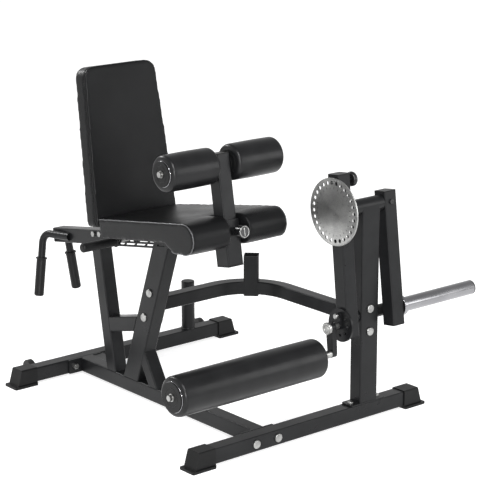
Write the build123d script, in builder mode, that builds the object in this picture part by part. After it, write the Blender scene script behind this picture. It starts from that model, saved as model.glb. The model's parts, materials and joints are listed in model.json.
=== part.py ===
from build123d import *
from math import cos, hypot, radians, sin, tan
import os

# Leg extension machine, millimetres.  +X is forward (the way the user faces), +Y is the
# user's left and +Z is up.  While the parts are drawn, X = 0 is the front face of the front
# crossbar, Y = 0 is the middle of the base beam and Z = 0 is the floor.  Every part is moved
# by the same amount when it is saved, so the saved origin is the middle of the footprint.

os.makedirs("parts", exist_ok=True)

# ---------------------------------------------------------------- driving values
TUBE = 50.0            # square frame tube, outside
WALL = 2.0             # wall of every frame tube
CORNER = 4.5           # outside corner radius of a frame tube
DEEP = 75.0            # long side of the 75 x 50 tube of the upright and the front post
SPARE = 200.0          # cutting shapes and untrimmed tubes reach this much too far
PLATE = 6.0            # bolted flange plates
BOLT = 6.0             # shank radius of the frame bolts
HEAD = 14.0            # radius of a bolt head
HEAD_T = 6.0           # thickness of a bolt head

BAR_BOTTOM = 9.0       # underside of the crossbars above the floor
BAR_TOP = BAR_BOTTOM + TUBE
FRONT_X = -TUBE / 2    # centre line of the front crossbar
REAR_X = -1002.0       # centre line of the rear crossbar
REAR_Y = 193.0         # middle of the rear crossbar
FRONT_Y = 184.0        # middle of the front crossbar
CROSS_HALF = 455.0     # half length of a crossbar tube
CAP_INNER = 398.0      # foot cap, from the middle of the crossbar to its inner edge
CAP_TOP = 460.0        # ... to the outer edge of its top
CAP_TOE = 478.0        # ... to the outer edge just above its flange
CAP_FLANGE = 490.0     # ... to the outer edge of its flange

RAIL_TILT = 9.65       # the seat rail rises towards the front
RAIL_ORIGIN = (-700.0, 0.0, 514.4)
RAIL_TOP = 50.0        # top of the rail above its lower line
RAIL_TUBE = 24.0       # height of the flat tube that carries the seat
RACK_Y = 25.2          # inner face of the rack plates
RACK_T = 4.0           # thickness of the rack plates
RAIL_REAR = -422.0     # rear end of the rear tube along the rail
RAIL_SPLIT = -250.0    # where the rear tube meets the seat rail

KNEE_S = 514.0         # knee post axis along the rail
SLEEVE = 60.0          # outside of the knee sleeve
SLEEVE_LOW = -47.0     # bottom of the knee sleeve above the rail line
SLEEVE_HIGH = 98.0     # top of the knee sleeve
KNEE_TOP = 301.0       # top of the knee post
KNEE_AXLE_N = 270.0    # height of the knee roller axle
KNEE_ROLLER_R = 57.0
KNEE_ROLLER_IN = 33.0  # inner end of each knee roller
KNEE_ROLLER_OUT = 224.0
KNEE_PIN_N = 62.0
PIN_R = 6.0            # radius of the pull pins

HINGE_S = 12.0         # backrest hinge along the rail
HINGE_N = 66.0         # backrest hinge above the rail line
BAR_S = -28.3          # adjust bar, along the rail
BAR_N = 18.0           # adjust bar, above the rail line
ADJUST_R = 6.0         # adjust bar radius

PIVOT_X = -26.0        # main pivot
PIVOT_Z = 710.0
UPRIGHT_Y = 423.0      # middle of the upright
ARM_LEAN = 7.2         # rest lean of the weight arm, bottom forward
LEVER_LEAN = 6.2       # rest lean of the leg lever
SHAFT_R = 12.5
RUN = 0.06             # running clearance on a radius
DISC_R = 107.5
DISC_T = 4.0
DISC_HOLES = 28
DISC_RING = 92.0
LEVER_Y = 289.0        # -Y face of the leg lever
ARM_Y = 482.0          # -Y face of the weight arm
ARM_DROP = 345.0       # weight sleeve below the pivot, along the arm
INDEX_DROP = 359.5     # index plate below the pivot, along the lever
INDEX_R = 54.0
INDEX_HOLES = 8
INDEX_RING = 33.0
ROLLER_X = 20.0        # long roller axis
ROLLER_Z = 270.0
ROLLER_R = 62.0
ROLLER_NEAR = -396.0
ROLLER_FAR = 176.0


# ---------------------------------------------------------------- helpers
def turn(tilt):
    """Unit vectors along and square to a direction tilted up from +X by tilt degrees."""
    a = radians(tilt)
    return Vector(cos(a), 0, sin(a)), Vector(-sin(a), 0, cos(a))


RAIL_ALONG, RAIL_UP = turn(RAIL_TILT)
LEVER_ACROSS, LEVER_UP = turn(LEVER_LEAN)
ARM_ACROSS, ARM_UP = turn(ARM_LEAN)
PIVOT = Vector(PIVOT_X, 0, PIVOT_Z)
SIDEWAYS = Vector(0, 1, 0)


def on_rail(s, y, n):
    """Point s along the rail, y to the left and n above the rail line."""
    return Vector(*RAIL_ORIGIN) + RAIL_ALONG * s + SIDEWAYS * y + RAIL_UP * n


def rail_side(y):
    """Side-on plane of the rail at y; a sketch point is (s, n) and it extrudes to -Y."""
    return Plane(origin=on_rail(0, y, 0), x_dir=RAIL_ALONG, z_dir=-SIDEWAYS)


def rail_across(s, n=0):
    """Plane square to the rail at s; a sketch point is (y, n) and it extrudes forward."""
    return Plane(origin=on_rail(s, 0, n), x_dir=SIDEWAYS, z_dir=RAIL_ALONG)


def rail_top(n, s=0, y=0):
    """Plane parallel to the rail at height n; sketch (s, y), it extrudes up."""
    return Plane(origin=on_rail(s, y, n), x_dir=RAIL_ALONG, z_dir=RAIL_UP)


def side(y):
    """Upright side-on plane at y; a sketch point is (x, z) and it extrudes to -Y."""
    return Plane(origin=(0, y, 0), x_dir=(1, 0, 0), z_dir=(0, -1, 0))


def facing(x, y=0, z=0):
    """Plane square to +X through the point; sketch (y, z), it extrudes forward."""
    return Plane(origin=(x, y, z), x_dir=(0, 1, 0), z_dir=(1, 0, 0))


def down_lever(drop, y=0):
    return PIVOT - LEVER_UP * drop + SIDEWAYS * y


def down_arm(drop, y=0):
    return PIVOT - ARM_UP * drop + SIDEWAYS * y


def leaning(foot, across, up):
    """Plane square to a leaning tube at its foot; sketch x is across, y is +Y."""
    return Plane(origin=foot, x_dir=across, z_dir=up)


def tube_section(width, depth, wall=WALL, corner=CORNER):
    """Rounded rectangular tube, drawn in the sketch that is open."""
    RectangleRounded(width, depth, corner)
    inner = (width - 2 * wall, depth - 2 * wall)
    RectangleRounded(*inner, max(corner - wall, 0.8), mode=Mode.SUBTRACT)


def ring_section(outer, inner):
    Circle(outer)
    Circle(inner, mode=Mode.SUBTRACT)


def rod(centre_xz, y_from, y_to, radius, bore=0.0):
    """Solid or hollow round bar along Y."""
    x, z = centre_xz
    with BuildPart() as bar:
        with BuildSketch(side(y_to)):
            with Locations((x, z)):
                Circle(radius)
                if bore:
                    Circle(bore, mode=Mode.SUBTRACT)
        extrude(amount=y_to - y_from)
    return bar.part


def rounded_rod(centre_xz, y_from, y_to, radius, edge, bore=0.0):
    """Round bar along Y whose two outer rims are rounded."""
    with BuildPart() as bar:
        add(rod(centre_xz, y_from, y_to, radius, bore))
        rims = bar.edges().filter_by(GeomType.CIRCLE).sort_by(SortBy.RADIUS)[-2:]
        fillet(rims, edge)
    return bar.part


def bolt(plane, grip, head=HEAD, shank=BOLT):
    """Dome-headed bolt: the head stands on the plane, the shank runs back through it."""
    with BuildPart() as body:
        with BuildSketch(plane):
            Circle(head)
        extrude(amount=HEAD_T)
        edges = body.edges().filter_by(GeomType.CIRCLE).sort_by(Axis(plane.origin, plane.z_dir))
        fillet(edges[-1], HEAD_T * 0.6)
        with BuildSketch(plane):
            Circle(shank)
        extrude(amount=-grip)
    return body.part


def nut(plane, across_flats=19.0, thick=9.0, bore=BOLT):
    """Hexagon nut standing on the plane, bored to sit on its bolt."""
    with BuildPart() as body:
        with BuildSketch(plane):
            RegularPolygon(across_flats / 2, 6, major_radius=False)
            Circle(bore, mode=Mode.SUBTRACT)
        extrude(amount=thick)
    return body.part


# ---------------------------------------------------------------- base frame
def crossbar(x, middle):
    with BuildPart() as bar:
        with BuildSketch(side(middle + CROSS_HALF)):
            with Locations((x, BAR_BOTTOM + TUBE / 2)):
                tube_section(TUBE, TUBE)
        extrude(amount=2 * CROSS_HALF)
    return bar.part


JOINT_BOLTS = (-51.0, 37.0)    # bolts each side of the base beam at both crossbars
BOLT_Z = BAR_BOTTOM + TUBE / 2
UPRIGHT_BOLTS = (UPRIGHT_Y - 57, UPRIGHT_Y + 57)

with BuildPart() as rear_crossbar:
    add(crossbar(REAR_X, REAR_Y))
    with Locations(*[(REAR_X, y, BOLT_Z) for y in JOINT_BOLTS]):
        Cylinder(BOLT, TUBE + 2, rotation=(0, 90, 0), mode=Mode.SUBTRACT)

with BuildPart() as front_crossbar:
    add(crossbar(FRONT_X, FRONT_Y))
    with Locations(*[(FRONT_X, y, BOLT_Z) for y in JOINT_BOLTS]):
        Cylinder(BOLT, TUBE + 2, rotation=(0, 90, 0), mode=Mode.SUBTRACT)
    with Locations(*[(FRONT_X, y, BAR_TOP) for y in UPRIGHT_BOLTS]):
        Cylinder(BOLT, 12, mode=Mode.SUBTRACT)

# The beam is closed at both ends by a plate bolted to the crossbar.
BEAM_REAR = REAR_X + TUBE / 2
BEAM_FRONT = FRONT_X - TUBE / 2
with BuildPart() as base_beam:
    with BuildSketch(facing(BEAM_REAR + PLATE, 0, BOLT_Z)):
        tube_section(TUBE, TUBE)
    extrude(amount=BEAM_FRONT - BEAM_REAR - 2 * PLATE)
    for x in (BEAM_REAR, BEAM_FRONT - PLATE):
        with BuildSketch(facing(x, 0, BOLT_Z)):
            with Locations((sum(JOINT_BOLTS) / 2, 0)):
                RectangleRounded(JOINT_BOLTS[1] - JOINT_BOLTS[0] + 48, TUBE, 3)
            with Locations(*[(y, 0) for y in JOINT_BOLTS]):
                Circle(BOLT, mode=Mode.SUBTRACT)
        extrude(amount=PLATE)
    # Gusset on the left of the beam where it meets the rear crossbar.
    gusset_x = BEAM_REAR + PLATE
    with BuildSketch(Plane.XY.offset(BAR_TOP - 8)):
        with BuildLine():
            Polyline((gusset_x, TUBE / 2), (gusset_x, 66), (gusset_x + 26, 66))
            ThreePointArc((gusset_x + 26, 66), (gusset_x + 74, 52), (gusset_x + 96, TUBE / 2))
            Line((gusset_x + 96, TUBE / 2), (gusset_x, TUBE / 2))
        make_face()
    extrude(amount=6)

CAP_WALL = 4.0
CAP_RISE = 3.0
FLANGE_T = 8.0
FLANGE_SIDE = 35.0


def foot_cap(x, middle, hand):
    """Plastic cap over the end of a crossbar; hand is -1 for the -Y end, +1 for the +Y end."""
    def out(distance):
        return middle + hand * distance

    half = TUBE / 2 + CAP_WALL
    with BuildPart() as cap:
        with BuildSketch(Plane(origin=(x - half, 0, 0), x_dir=(0, 1, 0), z_dir=(1, 0, 0))):
            with BuildLine():
                Polyline((out(CAP_INNER), 0), (out(CAP_INNER), BAR_TOP + CAP_RISE),
                         (out(CAP_TOP), BAR_TOP + CAP_RISE), (out(CAP_TOE), 0), close=True)
            make_face()
        extrude(amount=2 * half)
        fillet(cap.edges().filter_by(Axis.Y).group_by(Axis.Z)[-1], 5)
        with BuildSketch(Plane.XY):
            with Locations((x, out((CAP_INNER + CAP_FLANGE) / 2))):
                RectangleRounded(2 * FLANGE_SIDE, CAP_FLANGE - CAP_INNER, 6)
        extrude(amount=FLANGE_T)
        with Locations((x, out(CAP_INNER - 10 + (CROSS_HALF - CAP_INNER + 10) / 2), BOLT_Z)):
            Box(TUBE, CROSS_HALF - CAP_INNER + 10, TUBE, mode=Mode.SUBTRACT)
    return cap.part


with BuildPart() as foot_caps:
    for x, middle in ((REAR_X, REAR_Y), (FRONT_X, FRONT_Y)):
        for hand in (-1, 1):
            add(foot_cap(x, middle, hand))

# ---------------------------------------------------------------- seat support
REAR_POST_FOOT = Vector(-795, 0, BAR_TOP)
REAR_POST_LEAN = 10.0
FRONT_POST_FOOT = Vector(-684.8, 0, BAR_TOP)
FRONT_POST_LEAN = -19.5
RAIL_TUBE_LOW = RAIL_TOP - RAIL_TUBE


def support_post(foot, lean, width):
    """Leaning post from the beam up to the flat seat tube, trimmed flush at both ends."""
    across, up = turn(lean)
    with BuildPart() as post:
        with BuildSketch(leaning(foot - up * TUBE, across, up)):
            tube_section(width, TUBE)
        extrude(amount=RAIL_ORIGIN[2] + 2 * TUBE)
        with BuildSketch(side(TUBE)):
            with Locations((foot.X, BAR_TOP - SPARE)):
                Rectangle(4 * SPARE, 2 * SPARE)
        extrude(amount=2 * TUBE, mode=Mode.SUBTRACT)
        with BuildSketch(rail_side(TUBE)):
            with Locations((0, RAIL_TUBE_LOW + SPARE)):
                Rectangle(6 * SPARE, 2 * SPARE)
        extrude(amount=2 * TUBE, mode=Mode.SUBTRACT)
    return post.part


def post_face(foot, lean, ahead, z):
    """Point (x, z) on the face of a leaning post; ahead is the face's distance from its axis."""
    tilt = radians(lean)
    return foot.X + ahead / cos(tilt) - tan(tilt) * (z - foot.Z), z


FRONT_ACROSS, FRONT_UP = turn(FRONT_POST_LEAN)
CURVE_Z = 337.5
CURVE_TUBE = 45.0
CURVE_RISE = (CURVE_Z - BAR_TOP) / cos(radians(FRONT_POST_LEAN))
POST_AT_CURVE = FRONT_POST_FOOT + FRONT_UP * CURVE_RISE
POST_BOLT_REACH = 48.0
POST_BOLTS = [POST_AT_CURVE + FRONT_UP * reach for reach in (POST_BOLT_REACH, -POST_BOLT_REACH)]

with BuildPart() as rear_post:
    add(support_post(REAR_POST_FOOT, REAR_POST_LEAN, TUBE))

with BuildPart() as front_post:
    add(support_post(FRONT_POST_FOOT, FRONT_POST_LEAN, DEEP))
    for centre in POST_BOLTS:
        with Locations(centre):
            Cylinder(BOLT, TUBE + 2, rotation=(90, 0, 0), mode=Mode.SUBTRACT)

TIE_MIDDLE = Vector(-731, 0, 238)
tie_along, tie_up = turn(14)
with BuildPart() as post_tie:
    with BuildSketch(Plane(origin=TIE_MIDDLE - tie_along * SPARE, x_dir=SIDEWAYS, z_dir=tie_along)):
        tube_section(TUBE, TUBE)
    extrude(amount=2 * SPARE)
    # Only the piece between the two posts is kept.
    low, high = TIE_MIDDLE.Z - 2 * TUBE, TIE_MIDDLE.Z + 2 * TUBE
    with BuildSketch(side(TUBE)):
        Polygon(post_face(REAR_POST_FOOT, REAR_POST_LEAN, TUBE / 2, low),
                post_face(REAR_POST_FOOT, REAR_POST_LEAN, TUBE / 2, high),
                post_face(FRONT_POST_FOOT, FRONT_POST_LEAN, -DEEP / 2, high),
                post_face(FRONT_POST_FOOT, FRONT_POST_LEAN, -DEEP / 2, low), align=None)
    extrude(amount=2 * TUBE, mode=Mode.INTERSECT)

BRACE_TOP = Vector(-605, 0, 171)
BRACE_FOOT = Vector(-539, 0, 60)
BRACE_T = 40.0
BRACE_EXTRA = 60.0      # drawn longer at both ends, then trimmed
BRACE_ROOM = Vector(-480, 0, 220)    # corner of the trimming shape, clear of the brace
brace_along = (BRACE_TOP - BRACE_FOOT).normalized()
brace_across = Vector(brace_along.Z, 0, -brace_along.X)
brace_start = BRACE_FOOT - brace_along * BRACE_EXTRA - brace_across * (BRACE_T / 2)
with BuildPart() as front_brace:
    with BuildSketch(leaning(brace_start, brace_across, brace_along)):
        tube_section(BRACE_T, TUBE)
    extrude(amount=(BRACE_TOP - BRACE_FOOT).length + 2 * BRACE_EXTRA)
    # Trimmed by the beam below and by the post behind.
    with BuildSketch(side(TUBE)):
        Polygon(post_face(FRONT_POST_FOOT, FRONT_POST_LEAN, DEEP / 2, BAR_TOP),
                post_face(FRONT_POST_FOOT, FRONT_POST_LEAN, DEEP / 2, BRACE_ROOM.Z),
                (BRACE_ROOM.X, BRACE_ROOM.Z), (BRACE_ROOM.X, BAR_TOP), align=None)
    extrude(amount=2 * TUBE, mode=Mode.INTERSECT)

# ---------------------------------------------------------------- seat rail and rack
with BuildPart() as rear_tube:
    with BuildSketch(rail_across(RAIL_REAR + 6, RAIL_TOP / 2)):
        tube_section(TUBE, TUBE)
    extrude(amount=RAIL_SPLIT - RAIL_REAR - 6)

with BuildPart() as seat_rail:
    with BuildSketch(rail_across(RAIL_SPLIT, RAIL_TOP - RAIL_TUBE / 2)):
        tube_section(TUBE, RAIL_TUBE)
    extrude(amount=KNEE_S - SLEEVE / 2 - RAIL_SPLIT)

# Two plates hang beside the flat tube.  The adjust bar runs in their long slot over a row of
# hooked teeth, and the ears at their top carry the backrest hinge.
SLOT_LOW = 6.5
SLOT_HIGH = BAR_N + ADJUST_R + 0.5
TOOTH_PITCH = 57.0
TOOTH_HIGH = BAR_N - ADJUST_R - 0.5
SLOT_START = BAR_S - 16
SLOT_END = 222.0
RACK_REAR = RAIL_SPLIT
RACK_FRONT = 252.0


def rack_plate(y):
    with BuildPart() as plate:
        with BuildSketch(rail_side(y)):
            with BuildLine():
                Polyline((RACK_REAR, 0), (RACK_FRONT - 25, 0))
                ThreePointArc((RACK_FRONT - 25, 0), (RACK_FRONT, 25), (RACK_FRONT - 25, RAIL_TOP))
                Polyline((RACK_FRONT - 25, RAIL_TOP), (HINGE_S + 26, RAIL_TOP),
                         (HINGE_S + 12, HINGE_N + 8))
                ThreePointArc((HINGE_S + 12, HINGE_N + 8), (HINGE_S, HINGE_N + 14),
                              (HINGE_S - 12, HINGE_N + 8))
                Polyline((HINGE_S - 12, HINGE_N + 8), (HINGE_S - 14, RAIL_TOP),
                         (RACK_REAR, RAIL_TOP), (RACK_REAR, 0))
            make_face()
            with Locations(((SLOT_START + SLOT_END) / 2, (SLOT_LOW + SLOT_HIGH) / 2)):
                Rectangle(SLOT_END - SLOT_START, SLOT_HIGH - SLOT_LOW, mode=Mode.SUBTRACT)
            with Locations((HINGE_S, HINGE_N)):
                Circle(ADJUST_R, mode=Mode.SUBTRACT)
            for step in range(1, 5):
                root = SLOT_START + step * TOOTH_PITCH
                with BuildLine():
                    Polyline((root - 16, SLOT_LOW - 1), (root - 4, SLOT_LOW - 1),
                             (root + 1, TOOTH_HIGH), (root - 6, TOOTH_HIGH), close=True)
                make_face()
        extrude(amount=RACK_T)
    return plate.part


with BuildPart() as notch_rack:
    add(rack_plate(-RACK_Y))
    add(rack_plate(RACK_Y + RACK_T))

with BuildPart() as hinge_pin:
    pin_at = on_rail(HINGE_S, 0, HINGE_N)
    add(rod((pin_at.X, pin_at.Z), -43, 43, ADJUST_R))
    for y_low in (-47, 43):
        add(rod((pin_at.X, pin_at.Z), y_low, y_low + 4, 11))

# ---------------------------------------------------------------- knee sleeve and post
CAP_PLUG_R = 22.0
BORE = TUBE + 0.2
with BuildPart() as knee_sleeve:
    with BuildSketch(rail_top(SLEEVE_LOW + 8, KNEE_S)):
        RectangleRounded(SLEEVE, SLEEVE, CORNER)
        RectangleRounded(BORE, BORE, CORNER, mode=Mode.SUBTRACT)
    extrude(amount=SLEEVE_HIGH - SLEEVE_LOW - 8)
    # Threaded barrel of the spring pin on the front face.
    with BuildSketch(rail_across(KNEE_S + SLEEVE / 2, KNEE_PIN_N)):
        Circle(13)
    extrude(amount=20)
    with BuildSketch(rail_across(KNEE_S, KNEE_PIN_N)):
        Circle(PIN_R + RUN)
    extrude(amount=SLEEVE, mode=Mode.SUBTRACT)

KNEE_LOW = -30.0
KNEE_HOLES = 4
KNEE_HOLE_PITCH = 20.0
with BuildPart() as knee_post:
    with BuildSketch(rail_top(KNEE_LOW, KNEE_S)):
        tube_section(TUBE, TUBE)
    extrude(amount=KNEE_TOP - KNEE_LOW)
    for step in range(KNEE_HOLES):
        with BuildSketch(rail_across(KNEE_S, KNEE_PIN_N - step * KNEE_HOLE_PITCH)):
            Circle(PIN_R + RUN)
        extrude(amount=TUBE, mode=Mode.SUBTRACT)
    axle_at = on_rail(KNEE_S, 0, KNEE_AXLE_N)
    add(rod((axle_at.X, axle_at.Z), -TUBE, TUBE, 11), mode=Mode.SUBTRACT)

with BuildPart() as knee_post_cap:
    with BuildSketch(rail_top(KNEE_TOP, KNEE_S)):
        RectangleRounded(TUBE, TUBE, CORNER)
    extrude(amount=4)

KNEE_AXLE_R = 11.0
with BuildPart() as knee_axle:
    add(rod((axle_at.X, axle_at.Z), -KNEE_ROLLER_OUT - 2, KNEE_ROLLER_OUT + 2, KNEE_AXLE_R))
    for hand in (-1, 1):
        collar = sorted((hand * TUBE / 2, hand * (TUBE / 2 + 3)))
        add(rod((axle_at.X, axle_at.Z), *collar, 17))
        end_bolt = sorted((hand * (KNEE_ROLLER_OUT + 2), hand * (KNEE_ROLLER_OUT + 9)))
        add(rod((axle_at.X, axle_at.Z), *end_bolt, 9))


def foam_roller(centre_xz, y_from, y_to, radius):
    """Foam tube with slightly rounded ends, bored for the plugs of its end discs."""
    return rounded_rod(centre_xz, y_from, y_to, radius, 9, CAP_PLUG_R + 0.3)


def roller_caps(centre_xz, y_from, y_to, radius, bore):
    """Plastic end discs of one roller, each with a short plug that grips the foam."""
    with BuildPart() as discs:
        for y, hand in ((y_from, -1), (y_to, 1)):
            face = sorted((y, y + hand * 5))
            plug = sorted((y, y - hand * 14))
            add(rod(centre_xz, *face, radius, bore))
            add(rod(centre_xz, *plug, CAP_PLUG_R, bore))
    return discs.part


CAP_GAP = 0.3          # between a foam tube and its end discs
KNEE_CENTRE = (axle_at.X, axle_at.Z)
KNEE_CAP_R = 39.0
KNEE_LEFT = (KNEE_ROLLER_IN + 2, KNEE_ROLLER_OUT - 5)
KNEE_RIGHT = (-KNEE_LEFT[1], -KNEE_LEFT[0])


def knee_caps(y_from, y_to):
    return roller_caps(KNEE_CENTRE, y_from - CAP_GAP, y_to + CAP_GAP, KNEE_CAP_R, KNEE_AXLE_R + RUN)


with BuildPart() as knee_roller_left:
    add(foam_roller(KNEE_CENTRE, *KNEE_LEFT, KNEE_ROLLER_R))
with BuildPart() as knee_roller_right:
    add(foam_roller(KNEE_CENTRE, *KNEE_RIGHT, KNEE_ROLLER_R))
with BuildPart() as knee_caps_left:
    add(knee_caps(*KNEE_LEFT))
with BuildPart() as knee_caps_right:
    add(knee_caps(*KNEE_RIGHT))

# Pull pin of the knee post, drawn parked: its tip is just clear of the post.
SLEEVE_FACE = KNEE_S + SLEEVE / 2
PARKED = 0.6
with BuildPart() as knee_pin:
    with BuildSketch(rail_across(KNEE_S + TUBE / 2 + PARKED, KNEE_PIN_N)):
        Circle(PIN_R)
    extrude(amount=48)
    with BuildSketch(rail_across(SLEEVE_FACE + 31, KNEE_PIN_N)):
        Circle(20)
    extrude(amount=27)
    ends = knee_pin.edges().filter_by(GeomType.CIRCLE).sort_by(SortBy.RADIUS)[-2:]
    fillet(ends, 4)

# ---------------------------------------------------------------- seat
SEAT_REAR = 60.0
SEAT_TOP = 115.0
ROLL_S = 537.0
ROLL_N = 65.0
ROLL_R = 50.0
UNDER_S = 425.0         # the flat underside ends here and slopes down to the roll
HUMP_S = 470.0
SEAT_HALF_REAR = 162.0
SEAT_HALF_FRONT = 188.0
SEAT_NOTCH = 34.0
BOARD_T = 12.0


def seat_outline(rear, front, inset):
    """Plan of the seat, wider at the front."""
    Polygon((rear, SEAT_HALF_REAR - inset), (front, SEAT_HALF_FRONT - inset),
            (front, -SEAT_HALF_FRONT + inset), (rear, -SEAT_HALF_REAR + inset), align=None)


with BuildPart() as seat_board:
    with BuildSketch(rail_top(RAIL_TOP)):
        seat_outline(SEAT_REAR + 12, KNEE_S - SLEEVE / 2 - 8, 14)
    extrude(amount=BOARD_T)

with BuildPart() as seat_pad:
    with BuildSketch(rail_side(SEAT_HALF_FRONT)):
        with Locations(((SEAT_REAR + ROLL_S) / 2, (RAIL_TOP + SEAT_TOP) / 2)):
            Rectangle(ROLL_S - SEAT_REAR, SEAT_TOP - RAIL_TOP)
        with Locations((ROLL_S, ROLL_N)):
            Circle(ROLL_R)
        with BuildLine():
            Polyline((ROLL_S, ROLL_N - ROLL_R), (HUMP_S, ROLL_N - ROLL_R + 3), (UNDER_S, RAIL_TOP),
                     (UNDER_S, SEAT_TOP), (ROLL_S, SEAT_TOP), close=True)
        make_face()
    extrude(amount=2 * SEAT_HALF_FRONT)
    with BuildSketch(rail_top(-40)):
        seat_outline(SEAT_REAR, ROLL_S + ROLL_R + 2, 0)
    extrude(amount=200, mode=Mode.INTERSECT)
    # Clear the knee sleeve in front and the rail below.
    with BuildSketch(rail_top(-40)):
        with Locations((KNEE_S - SLEEVE / 2 - 3 + 100, 0)):
            RectangleRounded(200, 2 * SEAT_NOTCH, 6)
    extrude(amount=200, mode=Mode.SUBTRACT)
    with BuildSketch(rail_top(-40)):
        with Locations((440, 0)):
            Rectangle(120, 2 * (RACK_Y + RACK_T + 3))
    extrude(amount=40 + RAIL_TOP + 0.3, mode=Mode.SUBTRACT)
    with BuildSketch(rail_top(RAIL_TOP - 1)):
        seat_outline(SEAT_REAR + 11.7, KNEE_S - SLEEVE / 2 - 7.7, 13.7)
    extrude(amount=BOARD_T + 1.3, mode=Mode.SUBTRACT)

# ---------------------------------------------------------------- backrest
PAD_FRONT = 57.0
PAD_BACK = -5.0
PAD_LOW = 84.0
PAD_HIGH = 600.0
PAD_HALF_LOW = 165.0
PAD_HALF_HIGH = 140.0


def pad_outline(inset):
    """Face of the backrest, narrower at the top, in a (y, n) sketch."""
    Polygon((-PAD_HALF_LOW + inset, PAD_LOW + inset), (PAD_HALF_LOW - inset, PAD_LOW + inset),
            (PAD_HALF_HIGH - inset, PAD_HIGH - inset), (-PAD_HALF_HIGH + inset, PAD_HIGH - inset),
            align=None)


with BuildPart() as backrest_board:
    with BuildSketch(rail_across(PAD_BACK)) as board_face:
        pad_outline(14)
        fillet(board_face.vertices().group_by(Axis.Y)[-1], 24)
    extrude(amount=BOARD_T)

with BuildPart() as backrest_pad:
    with BuildSketch(rail_across(PAD_BACK)) as pad_face:
        pad_outline(0)
        fillet(pad_face.vertices().group_by(Axis.Y)[-1], 38)
        fillet(pad_face.vertices().group_by(Axis.Y)[0], 16)
    extrude(amount=PAD_FRONT - PAD_BACK)
    with BuildSketch(rail_across(PAD_BACK - 1)) as pocket_face:
        pad_outline(13.7)
        fillet(pocket_face.vertices().group_by(Axis.Y)[-1], 24)
    extrude(amount=BOARD_T + 1.3, mode=Mode.SUBTRACT)

# Two side arms carry the board; below the hinge each ends in a fork round the adjust bar.
ARM_PLATE_Y = 31.5
ARM_PLATE_T = 4.5
FORK_SWING = 40.0
FORK_HALF = ADJUST_R + 4.6
FORK_REACH = 72.0
SCREW_N = (150.0, 340.0)    # cross straps and their screws, up the backrest


def backrest_arm(y):
    with BuildPart() as arm:
        with BuildSketch(rail_side(y)):
            with BuildLine():
                Polyline((PAD_BACK - 0.3, PAD_LOW - 2), (PAD_BACK - 0.3, 372), (PAD_BACK - 14, 380),
                         (PAD_BACK - 26, 372), (PAD_BACK - 26, 110), (HINGE_S - 22, HINGE_N),
                         (HINGE_S, HINGE_N - 14), (HINGE_S + 14, HINGE_N), (HINGE_S + 6, HINGE_N + 12),
                         close=True)
            make_face()
            with Locations((HINGE_S, HINGE_N)):
                Circle(15)
            with Locations(Location((HINGE_S, HINGE_N, 0), (0, 0, 270 - FORK_SWING))):
                with Locations((FORK_REACH / 2, 0)):
                    Rectangle(FORK_REACH, 2 * FORK_HALF + 11)
                with Locations((FORK_REACH / 2 + 38, 0)):
                    Rectangle(FORK_REACH, 2 * FORK_HALF, mode=Mode.SUBTRACT)
            with Locations((HINGE_S, HINGE_N)):
                Circle(ADJUST_R + RUN, mode=Mode.SUBTRACT)
        extrude(amount=ARM_PLATE_T)
    return arm.part


with BuildPart() as backrest_frame:
    add(backrest_arm(-ARM_PLATE_Y))
    add(backrest_arm(ARM_PLATE_Y + ARM_PLATE_T))
    for n in SCREW_N:
        with BuildSketch(rail_across(PAD_BACK - 4, n)):
            RectangleRounded(180, 30, 6)
        extrude(amount=4)

SCREW_Y = 72.0
with BuildPart() as backrest_screws:
    for n in SCREW_N:
        for y in (-SCREW_Y, SCREW_Y):
            head_plane = Plane(origin=on_rail(PAD_BACK - 4, y, n), x_dir=SIDEWAYS, z_dir=-RAIL_ALONG)
            with BuildSketch(head_plane):
                Circle(7)
            extrude(amount=4)

# ---------------------------------------------------------------- adjust bar
bar_at = on_rail(BAR_S, 0, BAR_N)
BAR_CENTRE = (bar_at.X, bar_at.Z)
GRIP_IN = 40.0
GRIP_OUT = 178.0
with BuildPart() as adjust_bar:
    add(rod(BAR_CENTRE, -GRIP_OUT + 4, GRIP_OUT - 4, ADJUST_R))

with BuildPart() as adjust_grips:
    for hand in (-1, 1):
        sleeve = sorted((hand * GRIP_IN, hand * GRIP_OUT))
        flange = sorted((hand * GRIP_IN, hand * (GRIP_IN + 5)))
        add(rod(BAR_CENTRE, *sleeve, 15.5))
        add(rod(BAR_CENTRE, *flange, 19))
    add(rod(BAR_CENTRE, -GRIP_OUT + 4, GRIP_OUT - 4, ADJUST_R), mode=Mode.SUBTRACT)

# ---------------------------------------------------------------- prone handles
HANDLE_R = 13.0
HANDLE_BEND = 36.0


def handle_line(hand):
    """Centre line: out of the rear tube, back and outward, then down with a slight splay."""
    start = Vector(-1022, hand * (TUBE / 2 + 1), 481)
    corner = Vector(-1149, hand * 48, 474)
    end = Vector(-1141, hand * 79, 258)
    return start, corner, end


def handle(hand):
    start, corner, end = handle_line(hand)
    with BuildPart() as tube:
        with BuildLine() as path:
            FilletPolyline(start, corner, end, radius=HANDLE_BEND)
        with BuildSketch(Plane(origin=start, z_dir=corner - start)):
            ring_section(HANDLE_R, HANDLE_R - 2)
        sweep(path=path.line)
    return tube.part


GRIP_LENGTH = 132.0
GRIP_R = 17.0


def handle_grip(hand):
    start, corner, end = handle_line(hand)
    down = (end - corner).normalized()
    with BuildPart() as grip:
        with BuildSketch(Plane(origin=end - down * GRIP_LENGTH, z_dir=down)):
            ring_section(GRIP_R, HANDLE_R + 0.05)
        extrude(amount=GRIP_LENGTH)
        with BuildSketch(Plane(origin=end - down * GRIP_LENGTH, z_dir=down)):
            ring_section(GRIP_R + 3, HANDLE_R + 0.05)
        extrude(amount=5)
        with BuildSketch(Plane(origin=end + down * 0.2, z_dir=down)):
            Circle(GRIP_R)
        extrude(amount=4)
    return grip.part


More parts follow.
